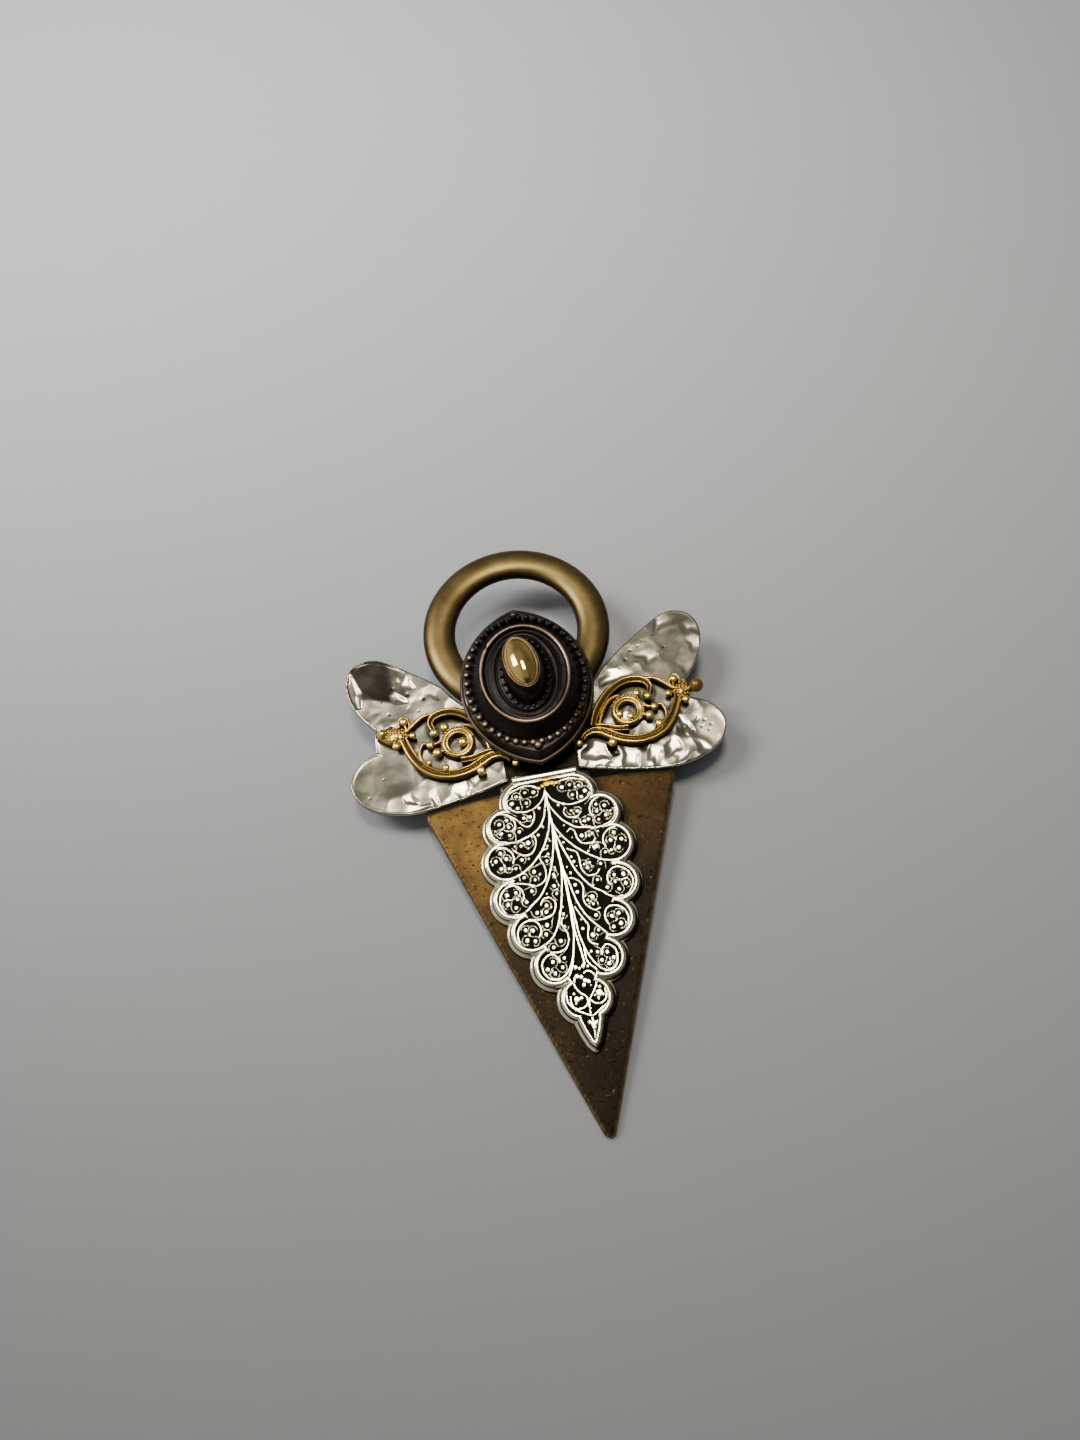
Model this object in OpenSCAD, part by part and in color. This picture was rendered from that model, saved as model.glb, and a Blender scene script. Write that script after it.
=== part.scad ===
// Angel brooch, lying on its back: robe plate, leaf, wings, filigrees, halo, head, cabochon, fitting.
// Flat frame while modelling: +X to the wearer's left, +Y towards the halo, +Z out of the front,
// z = 0 on the front of the robe plate. lying() then turns it to the pose in which it rests.

/* [Robe plate] */
// width across the sharp top corners
plate_width = 32.2; // [28:0.1:38]
// length from the top corners to the sharp tip
plate_length = 42.5; // [36:0.1:50]
// rise of the curved top edge above its corners
plate_crown = 0.9; // [0.4:0.1:1.6]
// thickness of the sheet
plate_thick = 0.9; // [0.7:0.05:1.2]
// radius that rounds the three corners
corner_radius = 0.75; // [0.5:0.05:1.2]
// width of the neck tab under the head
neck_width = 11.5; // [9:0.1:13]
// end of the neck tab, from the plate's corners
neck_length = 13.6; // [12.6:0.1:15]

/* [Leaf] */
// height of the leaf's crest above the plate
leaf_height = 1.3; // [1.1:0.05:1.6]
// depth of the black recesses below the crest
leaf_recess = 0.45; // [0.3:0.05:0.6]
// height of the plain lower step round the leaf
leaf_step = 0.6; // [0.4:0.05:0.8]
// width of that lower step
leaf_apron = 0.65; // [0.4:0.05:0.8]
// width of the plain scalloped rim
leaf_rim = 0.7; // [0.5:0.05:0.9]
// width of a raised branch
branch_width = 0.42; // [0.34:0.02:0.5]
// radius of a raised dot
dot_radius = 0.36; // [0.28:0.02:0.42]
// distance from the plate's corners to the leaf's point
leaf_reach = 31.5; // [30.8:0.1:32.4]

/* [Wings] */
// thickness of the hammered sheet
wing_thick = 0.9; // [0.7:0.05:1]
// half of the span across the lower lobes
wing_reach = 24.1; // [23.4:0.1:25]
// angle by which the left wing's upper lobe stands higher than the right one's
left_lobe_lift = 2.6; // [0:0.1:4]
// radius in the notch between the two lobes
notch_round = 0.4; // [0.2:0.05:0.6]

/* [Filigrees] */
// thickness of the openwork
filigree_thick = 0.95; // [0.8:0.05:1.1]
// width of the lower band
lower_band_width = 1.05; // [0.9:0.05:1.2]
// width of the upper band
band_width = 0.9; // [0.75:0.05:0.95]
// width of the fine wires
wire_width = 0.45; // [0.4:0.05:0.55]
// size of the ball ends against those of the table
ball_size = 1.0; // [0.9:0.02:1.1]
// outer radius of the spiral ring
spiral_radius = 2.1; // [1.95:0.05:2.25]

/* [Halo] */
// radius of the ring's centre line
halo_radius = 10.25; // [9.9:0.05:10.6]
// width of the ring's flattened section
halo_width = 4.3; // [4:0.05:4.5]
// thickness of the ring's section
halo_thick = 2.4; // [2.1:0.05:2.6]
// distance from the plate's corners to the ring's centre
halo_offset = 22.6; // [22.4:0.05:23.1]

/* [Head] */
// half of the head's width
head_half_width = 8.55; // [8.2:0.05:8.9]
// half of the head's height
head_half_height = 11.1; // [10.7:0.05:11.4]
// distance from the plate's corners to the head's centre
head_offset = 13.7; // [13.5:0.05:14]
// height of the bead row above the head's flange
shoulder_height = 2.0; // [1.7:0.05:2.3]
// height of the copper oval above the flange
oval_height = 3.85; // [3.6:0.05:4.1]
// height of the cabochon's seat above the flange
seat_height = 6.3; // [6.0:0.05:6.7]
// beads in the outer row
bead_count = 44; // [40:1:52]
// beads in the inner ring
inner_bead_count = 26; // [20:1:28]
// half of the cabochon's width
cabochon_half_width = 1.95; // [1.8:0.05:2.3]
// half of the cabochon's length
cabochon_half_length = 3.4; // [3.2:0.05:3.6]
// height of the cabochon's dome
cabochon_dome = 1.3; // [1:0.05:1.6]

/* [Pin fitting] */
// length of the fitting's bar
bar_length = 28; // [24:0.5:32]
// width of the bar
bar_width = 4; // [3:0.1:5]
// thickness of the bar
bar_thick = 0.7; // [0.5:0.05:0.9]
// depth of the pin stem's axis below the back of the plate
stem_drop = 2.9; // [2.6:0.1:3.6]
// radius of the pin stem
stem_radius = 0.4; // [0.35:0.05:0.5]
// radius of the end barrels that it rests on
barrel_radius = 0.8; // [0.7:0.05:1]
// distance from the plate's corners to the stem
stem_offset = 11; // [10:0.1:12]

/* [Hidden] */
$fn = 96;
gap = 0.05;            // clearance between pieces that touch
merge = 0.02;          // overlap inside one piece
corner_level = 0.35;   // y of the plate's top corners
upper_shift = -0.3;    // the head, wings and halo sit this far off the plate's axis
leaf_shift = -0.22;    // and the leaf this far
plate_shift = 0.1;     // the plate's corners sit this far off the middle
tip_shift = -0.54;     // and its tip this far off the corners
wing_bottom = gap;
wing_top = wing_bottom + wing_thick;
filigree_bottom = wing_top + gap;
filigree_top = filigree_bottom + filigree_thick;
halo_level = gap + halo_thick / 2;
flange_bottom = gap + halo_thick + gap;
flange_thick = 0.6;
flange_top = flange_bottom + flange_thick;
shoulder_top = flange_bottom + shoulder_height;
oval_top = flange_bottom + oval_height;
seat_level = flange_bottom + seat_height;
bead_w = head_half_width - 1.0;
bead_h = head_half_height - 2.25;
oval_w = 5.45;
oval_h = 6.6;
inner_w = 3.0;
inner_h = 4.8;
bead_radius = 0.42;
inner_bead_radius = 0.3;
bump_radius = 0.65;
cabochon_turn = 9;
seat_shift = [-0.25, 0.2, 0];
boss_shoulder = seat_level - 0.7;
bezel = 0.15;
cup_w = cabochon_half_width + gap;
cup_h = cabochon_half_length + gap;
seat_w = cup_w + bezel;
seat_h = cup_h + bezel;
moat_w = inner_w + 0.75;
moat_h = inner_h + 0.75;
boss_w = inner_w - 0.35;
boss_h = inner_h - 0.35;
sharp_tip = corner_level - plate_length;
side_angle = atan((plate_width / 2) / plate_length);
tip_end = sharp_tip + corner_radius * (1 / sin(side_angle) - 1);

// resting pose: the floor touches the tip's lower edge and the two barrels
stem_level = -plate_thick - stem_drop;
rest_run = corner_level + stem_offset - tip_end;
rest_fall = -plate_thick - stem_level;
rest_tilt = atan2(rest_fall, rest_run) + asin(barrel_radius / norm([rest_run, rest_fall]));
rest_lift = -(tip_end * sin(rest_tilt) - plate_thick * cos(rest_tilt));

// the origin lies under the middle of the part, on the floor
halo_y = corner_level + halo_offset;
halo_reach = norm([halo_width / 2 * cos(rest_tilt), halo_thick / 2 * sin(rest_tilt)]);
far_end = (halo_y + halo_radius) * cos(rest_tilt) - halo_level * sin(rest_tilt) + halo_reach;
near_end = tip_end * cos(rest_tilt);
rest_shift = [-upper_shift, -(far_end + near_end) / 2, rest_lift];

// leaf lobes on one side, from the top: centre x, centre y, radius
lobes = [
  [3.2, -0.8, 2.5],
  [5.85, -3.9, 2.4],
  [6.55, -8.05, 2.5],
  [6.3, -12.85, 2.45],
  [4.9, -17.1, 2.4],
  [2.95, -21.4, 2.35],
  [0.6, -25.7, 2.3],
];
lobe_x = 0;
lobe_y = 1;
lobe_r = 2;

// wing, head's axis as origin of x: points on the edge of the upper and of the lower lobe
upper_edge = [
  [7.0, 12.9], [10.4, 15.8], [13.0, 17.9], [16.1, 20.0], [18.9, 21.7], [20.8, 22.1], [22.6, 21.5],
  [23.6, 20.1], [23.8, 18.2], [23.2, 15.9], [22.0, 13.8], [20.4, 11.9],
];
lower_edge = [
  [20.4, 9.2], [21.9, 8.6], [23.2, 7.5], [23.95, 6.2], [wing_reach, 5.1], [23.6, 3.6], [22.5, 2.3],
  [20.5, 1.15], [17.8, 0.45], [15.0, 0.4], [11.5, 0.9], [7.6, 1.7], [4.6, 2.5],
];
lobe_pivot = [7, 8];
lobe_root = [4.6, 8.0];
// what joins the two lobes under the filigree
wing_middle = [[4.6, 8.0], [7.0, 12.9], [13, 16], [20.4, 11.9], [20.4, 9.2], [16, 4], [7, 4]];

// filigree, spiral centre as origin: the centre lines of its bands and wires
lower_band = [
  [-6.36, -2.8], [-5.87, -2.28], [-4.9, -1.95], [-3.8, -2.15], [-2.65, -2.9], [-1.3, -3.65], [0.4, -4.1],
  [1.95, -4.05], [3.3, -3.65], [4.5, -2.85], [5.5, -1.65], [6.2, -0.4], [6.85, 1.05],
];
upper_band = [
  [-4.75, -1.2], [-4.1, 0.4], [-3.15, 1.75], [-2.0, 2.95], [-0.6, 3.85], [0.8, 4.25], [2.2, 4.1],
  [3.1, 3.6], [3.45, 2.8], [3.05, 1.8],
];
inner_band = [[-3.85, -1.15], [-3.3, 0.25], [-2.6, 1.3], [-1.8, 2.0], [-0.7, 2.3]];
belly_band = [[-4.4, -1.4], [-3.15, -1.65], [-1.75, -2.15], [-0.3, -2.35]];
crown_wire = [[3.05, 4.0], [4.2, 3.8], [5.1, 3.15], [5.75, 2.5], [6.4, 1.95], [7.4, 1.8]];
curl_wire = [[3.5, 0.0], [4.3, 0.05], [4.65, -0.6], [4.7, -1.45], [4.3, -2.25], [3.6, -2.45]];
// short links from the bands and the ring to the balls
links = [
  [[1.2, 1.5], [1.6, 2.05]],
  [[1.9, 0.3], [3.4, -0.2]],
  [[1.6, -0.9], [2.55, -1.25]],
  [[5.55, 1.25], [6.8, 1.5]],
  [[6.3, 2.0], [6.65, 3.1]],
  [[-2.7, -2.9], [-2.75, -4.0]],
];
// filigree balls: centre x, centre y, radius
balls = [
  [1.6, 2.05, 0.54],
  [2.9, 1.4, 0.5],
  [3.4, -0.2, 0.48],
  [2.55, -1.25, 0.55],
  [-2.75, -4.0, 0.55],
  [-6.9, -3.3, 0.42],
  [5.55, 1.25, 0.42],
  [6.65, 3.15, 0.48],
  [7.55, 0.0, 0.48],
  [9.25, 1.65, 0.9],
];
hole_balls = [[-1.1, -0.4, 0.48]];
right_balls = [[0.2, -0.95, 0.53], [3.55, -2.6, 0.55]];
left_balls = [[1.5, -3.3, 0.4], [3.55, -2.5, 0.3]];
ball_r = 2;
ball_foot = 0.9;       // radius of a ball's foot against the ball's
hub = [7.35, 1.5];
hub_radius = 1.2;
knob = [9.25, 1.65];
left_size = 1.035;     // the left filigree is this much larger
left_turn = -6.7;      // and turned by this much
left_place = [-9.85, 8.35];
right_place = [12.05, 8.5];

// the strip at the leaf's top: half of its length, its lower edge and its width
strip_half = 4.1;
strip_low = 1.6;
strip_width = 1.0;

// the open curl in the leaf's top lobe, and the one in its tip
top_curl = [2.9, -0.7];
top_curl_radius = 1.55;
tip_curl_y = -25;
tip_curl_radius = 1.9;
rib_start = 0.9;       // y at which the branches leave the top

function arc(c, r, a0, a1, n) =
  [for (i = [0:n]) let (a = a0 + (a1 - a0) * i / n) c + r * [cos(a), sin(a)]];
function turned(p, c, a) =
  [for (q = p) let (d = q - c) c + [d[0] * cos(a) - d[1] * sin(a), d[0] * sin(a) + d[1] * cos(a)]];
function flip(p) = [for (i = [len(p) - 1:-1:0]) [-p[i][0], p[i][1]]];

// smooth curve through the points of p, n samples to a span
function spline_at(a, b, c, d, t) =
  0.5 * (2 * b + (c - a) * t + (2 * a - 5 * b + 4 * c - d) * t * t + (3 * b - a - 3 * c + d) * t * t * t);
function smooth(p, n) = concat(
  [for (i = [0:len(p) - 2], k = [0:n - 1])
    spline_at(p[max(i - 1, 0)], p[i], p[i + 1], p[min(i + 2, len(p) - 1)], k / n)],
  [p[len(p) - 1]]
);
function unit(v) = v / norm(v);
function across(p, i) =
  let (d = unit(p[min(i + 1, len(p) - 1)] - p[max(i - 1, 0)])) [-d[1], d[0]];
// outline of a round-ended band of width w along the points of p
function ribbon(p, w) =
  let (last = len(p) - 1)
  let (start = across(p, 0), end = across(p, last))
  let (a0 = atan2(start[1], start[0]), a1 = atan2(end[1], end[0]))
  concat(
    arc(p[0], w / 2, a0 + 180, a0, 4),
    [for (i = [1:last - 1]) p[i] + across(p, i) * w / 2],
    arc(p[last], w / 2, a1, a1 - 180, 4),
    [for (i = [last - 1:-1:1]) p[i] - across(p, i) * w / 2]
  );

module lying() {
  translate(rest_shift)
    rotate([rest_tilt, 0, 0])
      children();
}

module band(p, w, n) {
  polygon(ribbon(smooth(p, n), w));
}

module plate_outline() {
  side = [cos(side_angle), -sin(side_angle)];
  corner = [plate_width / 2, corner_level];
  cy = corner_level - corner_radius;
  cx = (corner * side - corner_radius - side[1] * cy) / side[0];
  right = arc([cx, cy], corner_radius, -side_angle, 90, 8);
  top = [for (i = [1:15]) let (u = 1 - i / 8) [cx * u, corner_level + plate_crown * (1 - u * u)]];
  tip_middle = [tip_shift, sharp_tip + corner_radius / sin(side_angle)];
  tip = arc(tip_middle, corner_radius, 180 + side_angle, 360 - side_angle, 8);
  polygon(concat(right, top, flip(right), tip));
}

module body_plate() {
  color([0.47, 0.34, 0.18])
    lying()
      translate([0, 0, -plate_thick])
        linear_extrude(plate_thick)
          union() {
            translate([plate_shift, 0])
              plate_outline();
            translate([upper_shift - neck_width / 2, 0])
              square([neck_width, corner_level + neck_length]);
          }
}

// scalloped outline of the leaf, grown by g
module leaf_outline(g) {
  left = [for (l = lobes) [-l[lobe_x], l[lobe_y]]];
  point = corner_level - leaf_reach;
  finial = [[1.45, -26.9], [1.35, -28.2], [0.95, -29.5], [0.45, point + 0.5], [0, point]];
  offset(delta = g)
    union() {
      for (s = [-1, 1], l = lobes)
        translate([s * l[lobe_x], l[lobe_y]])
          circle(l[lobe_r], $fn = 32);
      polygon(concat(
        [[strip_half - 0.15, 0], [strip_half - 0.15, strip_low + 0.15]],
        [[0.15 - strip_half, strip_low + 0.15], [0.15 - strip_half, 0]],
        left,
        flip(left)
      ));
      polygon(concat(finial, flip(finial)));
    }
}

// centre line of the branch that sweeps down from the top into lobe l and curls round in it
function branch(l) =
  let (c = [l[lobe_x], l[lobe_y]])
  let (r = l[lobe_r] - leaf_rim - 0.25)
  let (foot = c + [-0.25 * r, -0.95 * r])
  let (fall = foot[1] - rib_start)
  concat(
    [[0.2, rib_start], [0.3, rib_start + 0.34 * fall], [0.15 * foot[0] + 0.1, rib_start + 0.62 * fall],
      [0.45 * foot[0], rib_start + 0.84 * fall], foot],
    arc(c, r, -60, 150, 6),
    [c + 0.8 * r * [cos(195), sin(195)]]
  );

module dot(x, y, size = 1) {
  translate([x, y])
    circle(dot_radius * size, $fn = 12);
}

module loop(x, y, r) {
  translate([x, y])
    difference() {
      circle(r, $fn = 24);
      circle(r - branch_width, $fn = 24);
    }
}

module leaf_side() {
  for (i = [1:len(lobes) - 2]) {
    l = lobes[i];
    r = 0.42 * (l[lobe_r] - leaf_rim);
    band(branch(l), branch_width, 3);
    for (a = [20, 140, 260])
      dot(l[lobe_x] + r * cos(a), l[lobe_y] + r * sin(a));
    dot(0.45 * l[lobe_x], l[lobe_y] + 1.15);
  }
  loop(top_curl[0], top_curl[1], top_curl_radius);
  for (a = [60, 180, 300])
    dot(top_curl[0] + 0.42 * top_curl_radius * cos(a), top_curl[1] + 0.42 * top_curl_radius * sin(a));
  dot(0.75, -25.9, 1.5);
}

module leaf_relief() {
  leaf_side();
  mirror([1, 0])
    leaf_side();
  band([[0, 1.2], [0, -10], [0, -23]], branch_width * 1.3, 2);
  loop(0, tip_curl_y, tip_curl_radius);
  band([[0, -26.8], [0, -28.2], [0, -29.6]], branch_width * 2, 2);
  dot(0, 1.15, 2.4);
}

// the recesses between rim and relief, without slivers
module leaf_pockets() {
  offset(delta = 0.03)
    offset(delta = -0.05)
      difference() {
        leaf_outline(-leaf_rim);
        leaf_relief();
      }
}

module leaf() {
  color([0.86, 0.84, 0.79])
    lying()
      translate([leaf_shift, 0, gap]) {
        linear_extrude(leaf_step)
          leaf_outline(leaf_apron);
        difference() {
          linear_extrude(leaf_height - gap)
            leaf_outline(0);
          translate([0, 0, leaf_height - gap - leaf_recess])
            linear_extrude(leaf_recess + 1)
              leaf_pockets();
        }
        translate([-strip_half, strip_low, 0])
          cube([2 * strip_half, strip_width, leaf_height + 0.1]);
      }
}

// right wing, one sheet with an upper and a lower lobe; lift turns the upper lobe up
module wing_outline(lift) {
  difference() {
    offset(r = -notch_round, $fn = 32)
      offset(delta = notch_round)
        union() {
          polygon(concat([lobe_pivot], smooth(turned(upper_edge, lobe_pivot, lift), 4)));
          polygon(concat([lobe_root], smooth(lower_edge, 4)));
          polygon(wing_middle);
        }
    // trimmed clear of the ring's flank
    translate([0, halo_y])
      circle(halo_radius + halo_width / 2 + gap, $fn = 96);
  }
}

module wing_right() {
  color([0.75, 0.74, 0.71])
    lying()
      translate([upper_shift, 0, wing_bottom])
        linear_extrude(wing_thick)
          wing_outline(0);
}

module wing_left() {
  color([0.75, 0.74, 0.71])
    lying()
      translate([upper_shift, 0, wing_bottom])
        mirror([1, 0, 0])
          linear_extrude(wing_thick)
            wing_outline(left_lobe_lift);
}

// openwork paisley for the right side, spiral centre at the origin
module paisley_outline(extra) {
  offset(delta = 0.04)
    difference() {
      union() {
        band(lower_band, lower_band_width, 3);
        band(upper_band, band_width, 3);
        band(inner_band, wire_width * 1.3, 3);
        band(belly_band, band_width, 3);
        band(crown_wire, wire_width, 3);
        band(curl_wire, wire_width, 3);
        band([hub, knob], band_width, 2);
        for (l = links)
          band(l, wire_width, 2);
        circle(spiral_radius, $fn = 40);
        translate(hub)
          circle(hub_radius, $fn = 24);
        for (b = concat(balls, extra))
          translate([b[0], b[1]])
            circle(ball_size * b[ball_r] * ball_foot, $fn = 16);
      }
      difference() {
        circle(spiral_radius - band_width, $fn = 32);
        for (b = concat(hole_balls, extra))
          translate([b[0], b[1]])
            circle(ball_size * b[ball_r] * ball_foot, $fn = 16);
      }
    }
}

module paisley(size, extra) {
  linear_extrude(filigree_thick)
    scale([size, size])
      paisley_outline(extra);
  for (b = concat(balls, hole_balls, extra))
    translate([size * b[0], size * b[1], filigree_thick])
      sphere(ball_size * b[ball_r], $fn = 24);
}

module filigree_left() {
  color([0.8, 0.63, 0.3])
    lying()
      translate([upper_shift + left_place[0], left_place[1], filigree_bottom])
        rotate([0, 0, left_turn])
          mirror([1, 0, 0])
            paisley(left_size, left_balls);
}

module filigree_right() {
  color([0.8, 0.63, 0.3])
    lying()
      translate([upper_shift + right_place[0], right_place[1], filigree_bottom])
        paisley(1, right_balls);
}

module halo_ring() {
  color([0.55, 0.43, 0.24])
    lying()
      translate([upper_shift, halo_y, halo_level])
        rotate_extrude($fn = 128)
          translate([halo_radius, 0])
            scale([1, halo_thick / halo_width])
              circle(halo_width / 2, $fn = 48);
}

// pointed oval with half width w and half height h
module vesica(w, h) {
  r = (w * w + h * h) / (2 * w);
  intersection() {
    translate([w - r, 0])
      circle(r);
    translate([r - w, 0])
      circle(r);
  }
}

function on_oval(w, h, a) = [w * cos(a), h * sin(a)];

// thin oval disc whose upper face is at level z
module oval_disc(w, h, z) {
  translate([0, 0, z - merge])
    linear_extrude(merge)
      scale([w, h])
        circle(1, $fn = 56);
}

// oval frustum from one half width, half height and level to the next
module oval_frustum(w0, h0, z0, w1, h1, z1) {
  hull() {
    oval_disc(w0, h0, z0);
    oval_disc(w1, h1, z1);
  }
}

// round bead of radius r whose stalk reaches down into the metal
module bead(x, y, z, r, sides) {
  hull() {
    translate([x, y, z])
      sphere(r, $fn = sides);
    translate([x, y, z - r])
      cylinder(r = r * 0.6, h = merge, $fn = sides);
  }
}

module head_shell() {
  difference() {
    union() {
      translate([0, 0, flange_bottom])
        linear_extrude(flange_thick)
          vesica(head_half_width, head_half_height);
      hull() {
        translate([0, 0, flange_bottom])
          linear_extrude(flange_thick)
            vesica(head_half_width - 0.35, head_half_height - 0.5);
        translate([0, 0, shoulder_top - merge])
          linear_extrude(merge)
            vesica(head_half_width - 0.75, head_half_height - 1.1);
      }
      oval_frustum(bead_w - 0.5, bead_h - 0.5, shoulder_top, oval_w, oval_h, oval_top);
      oval_frustum(oval_w + 0.3, oval_h + 0.3, shoulder_top, oval_w + 0.25, oval_h + 0.25, oval_top + 0.3);
    }
    oval_frustum(oval_w - 0.2, oval_h - 0.2, oval_top - 0.35, oval_w - 0.2, oval_h - 0.2, oval_top + 1);
    hull() {
      translate([0, 0, flange_bottom - 1])
        linear_extrude(merge)
          vesica(head_half_width - 1.5, head_half_height - 2.3);
      translate([0, 0, shoulder_top - 0.7])
        linear_extrude(merge)
          vesica(head_half_width - 2, head_half_height - 2.9);
    }
    oval_frustum(oval_w + 0.6, oval_h + 0.6, shoulder_top - 1, oval_w - 1.2, oval_h - 1.2, oval_top - 1.1);
  }
}

module head() {
  color([0.24, 0.2, 0.17])
    lying()
      translate([upper_shift, corner_level + head_offset, 0]) {
        head_shell();
        oval_frustum(moat_w, moat_h, oval_top - 0.4, moat_w - 0.15, moat_h - 0.15, oval_top);
        oval_frustum(boss_w, boss_h, oval_top - 0.1, seat_w + 0.15, seat_h + 0.4, boss_shoulder);
        translate(seat_shift)
          rotate([0, 0, cabochon_turn]) {
            oval_frustum(seat_w + 0.15, seat_h + 0.2, boss_shoulder - 0.5, seat_w, seat_h, seat_level);
            difference() {
              oval_frustum(seat_w, seat_h, seat_level - 0.2, seat_w, seat_h, seat_level + 0.45);
              oval_frustum(cup_w, cup_h, seat_level, cup_w, cup_h, seat_level + 1);
            }
          }
        for (i = [0:bead_count - 1]) {
          p = on_oval(bead_w - 0.05, bead_h, 360 * i / bead_count);
          bead(p[0], p[1], shoulder_top, bead_radius, 12);
        }
        for (i = [0:inner_bead_count - 1]) {
          p = on_oval(inner_w, inner_h, 360 * i / inner_bead_count);
          bead(p[0], p[1], oval_top, inner_bead_radius, 10);
        }
        for (s = [-1, 1])
          bead(0, s * (head_half_height - 1.7), shoulder_top, bump_radius, 16);
      }
}

module cabochon() {
  sink = 0.3;
  color([0.87, 0.74, 0.42])
    lying()
      translate([upper_shift, corner_level + head_offset, seat_level + gap] + seat_shift)
        rotate([0, 0, cabochon_turn])
          intersection() {
            translate([0, 0, sink])
              scale([cabochon_half_width, cabochon_half_length, cabochon_dome])
                sphere(1);
            translate([-5, -5, 0])
              cube([10, 10, 5]);
          }
}

module pin_back() {
  y = corner_level + stem_offset;
  ear = 1.2;
  color([0.6, 0.58, 0.54])
    lying()
      translate([upper_shift, y, 0]) {
        translate([-bar_length / 2, -bar_width / 2, -plate_thick - gap - bar_thick])
          cube([bar_length, bar_width, bar_thick]);
        for (s = [-1, 1]) {
          translate([s * (bar_length / 2 - ear) - ear / 2, -barrel_radius, stem_level])
            cube([ear, 2 * barrel_radius, stem_drop - gap - bar_thick + merge]);
          translate([s * (bar_length / 2 - ear) - 1.5, 0, stem_level])
            rotate([0, 90, 0])
              cylinder(r = barrel_radius, h = 3);
        }
        translate([-bar_length / 2 + ear, 0, stem_level])
          rotate([0, 90, 0])
            cylinder(r = stem_radius, h = bar_length - 2 * ear);
      }
}

body_plate();
leaf();
wing_left();
wing_right();
filigree_left();
filigree_right();
halo_ring();
head();
cabochon();
pin_back();
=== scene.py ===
import math

import bpy
import numpy as np
from mathutils import Matrix, Vector

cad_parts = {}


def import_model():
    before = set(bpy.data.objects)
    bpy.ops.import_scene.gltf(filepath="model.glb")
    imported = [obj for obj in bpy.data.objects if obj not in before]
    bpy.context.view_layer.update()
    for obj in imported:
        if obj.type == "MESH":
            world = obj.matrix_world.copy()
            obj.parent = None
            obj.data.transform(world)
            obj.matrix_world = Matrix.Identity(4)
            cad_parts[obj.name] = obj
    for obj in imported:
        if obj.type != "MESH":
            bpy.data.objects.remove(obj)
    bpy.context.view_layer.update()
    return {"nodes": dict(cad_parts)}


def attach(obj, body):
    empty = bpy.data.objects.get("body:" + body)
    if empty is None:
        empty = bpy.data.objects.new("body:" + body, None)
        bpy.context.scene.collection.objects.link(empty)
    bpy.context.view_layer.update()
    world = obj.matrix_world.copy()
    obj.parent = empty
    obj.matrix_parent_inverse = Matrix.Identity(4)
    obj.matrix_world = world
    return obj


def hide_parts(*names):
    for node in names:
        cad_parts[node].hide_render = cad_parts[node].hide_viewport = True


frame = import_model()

MM = 0.001

# The part's own sizes, in mm
# The pieces are made flat, with z = 0 on the robe's front, and then laid in the resting pose,
# which turns them about x and shifts them.
TILT = math.radians(4.0618)
SHIFT = (0.3, 2.75305, 3.7865)
# x of the upper frame (head, wings and ring), of the leaf, and of the plate
UPPER, LEAF, PLATE_X = -0.3, -0.22, 0.1
# how far the leaf and the wings stand off the plate
CLEAR = 0.05
# the robe's plate: half width, length, rise of its top's middle, thickness
PLATE_HALF, PLATE_LENGTH, PLATE_CROWN, PLATE_THICK = 16.1, 42.5, 0.9, 0.9
CORNER_Y, CORNER_RADIUS, TIP_X = 0.35, 0.75, -0.54
NECK_HALF, NECK_TOP = 5.75, 13.95
# how far the leaf's plain rim stands out past its scalloped crest
LEAF_APRON = 0.65
# the ring: middle, radius of its centre line, half width, half height, and the wings' distance
HALO = (UPPER, 22.95, 1.25)
HALO_RADIUS, HALO_HALF, HALO_RISE, HALO_CLEAR = 10.25, 2.15, 1.2, 12.45
# the head, whose middle is turned a little and shifted
HEAD = (UPPER, 14.05)
CROWN_TURN, CROWN_SHIFT = math.radians(9), (-0.25, 0.2)
# level of the sheet under the openwork, and the openwork's thickness
WING_TOP, FILIGREE_THICK = 1.0, 0.95


def turned(x, y, angle):
    c, s = math.cos(angle), math.sin(angle)
    return x * c - y * s, x * s + y * c


def world(p):
    """Points of the flat frame, in mm, as they lie in the part's frame, in metres."""
    p = np.asarray(p, float).reshape(-1, 3)
    y, z = turned(p[:, 1], p[:, 2], TILT)
    return (np.c_[p[:, 0], y, z] + SHIFT) * MM


# Mesh helpers
def linked(name, data):
    ob = bpy.data.objects.new(name, data)
    bpy.context.scene.collection.objects.link(ob)
    return ob


def build(name, verts, faces, mat, nodes, tones, flat=False):
    """One piece, in place of the named nodes, with its tones as attributes."""
    me = bpy.data.meshes.new(name)
    me.from_pydata(world(verts).tolist(), [], faces)
    me.validate()
    me.update()
    for key, values in tones.items():
        a = me.attributes.new(key, "FLOAT", "POINT")
        a.data.foreach_set("value", np.asarray(values, np.float32))
    # flat: faces that lie level keep sharp borders
    normals = np.zeros(len(me.polygons) * 3)
    me.polygons.foreach_get("normal", normals)
    soft = normals[2::3] < (0.9 if flat else 2)
    me.polygons.foreach_set("use_smooth", soft.tolist())
    ob = linked(name, me)
    me.materials.append(mat)
    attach(ob, "root")
    if nodes:
        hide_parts(*nodes)


class Parts:
    """Collects small meshes into one, with a tone for each vertex."""

    def __init__(self):
        self.v, self.f, self.t, self.n = [], [], [], 0

    def add(self, verts, faces, tone):
        self.v.append(verts)
        self.t.append(np.broadcast_to(np.asarray(tone, float), (len(verts),)))
        self.f.extend([tuple(i + self.n for i in f) for f in faces])
        self.n += len(verts)

    def all(self):
        return np.vstack(self.v), self.f, np.concatenate(self.t)


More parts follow.
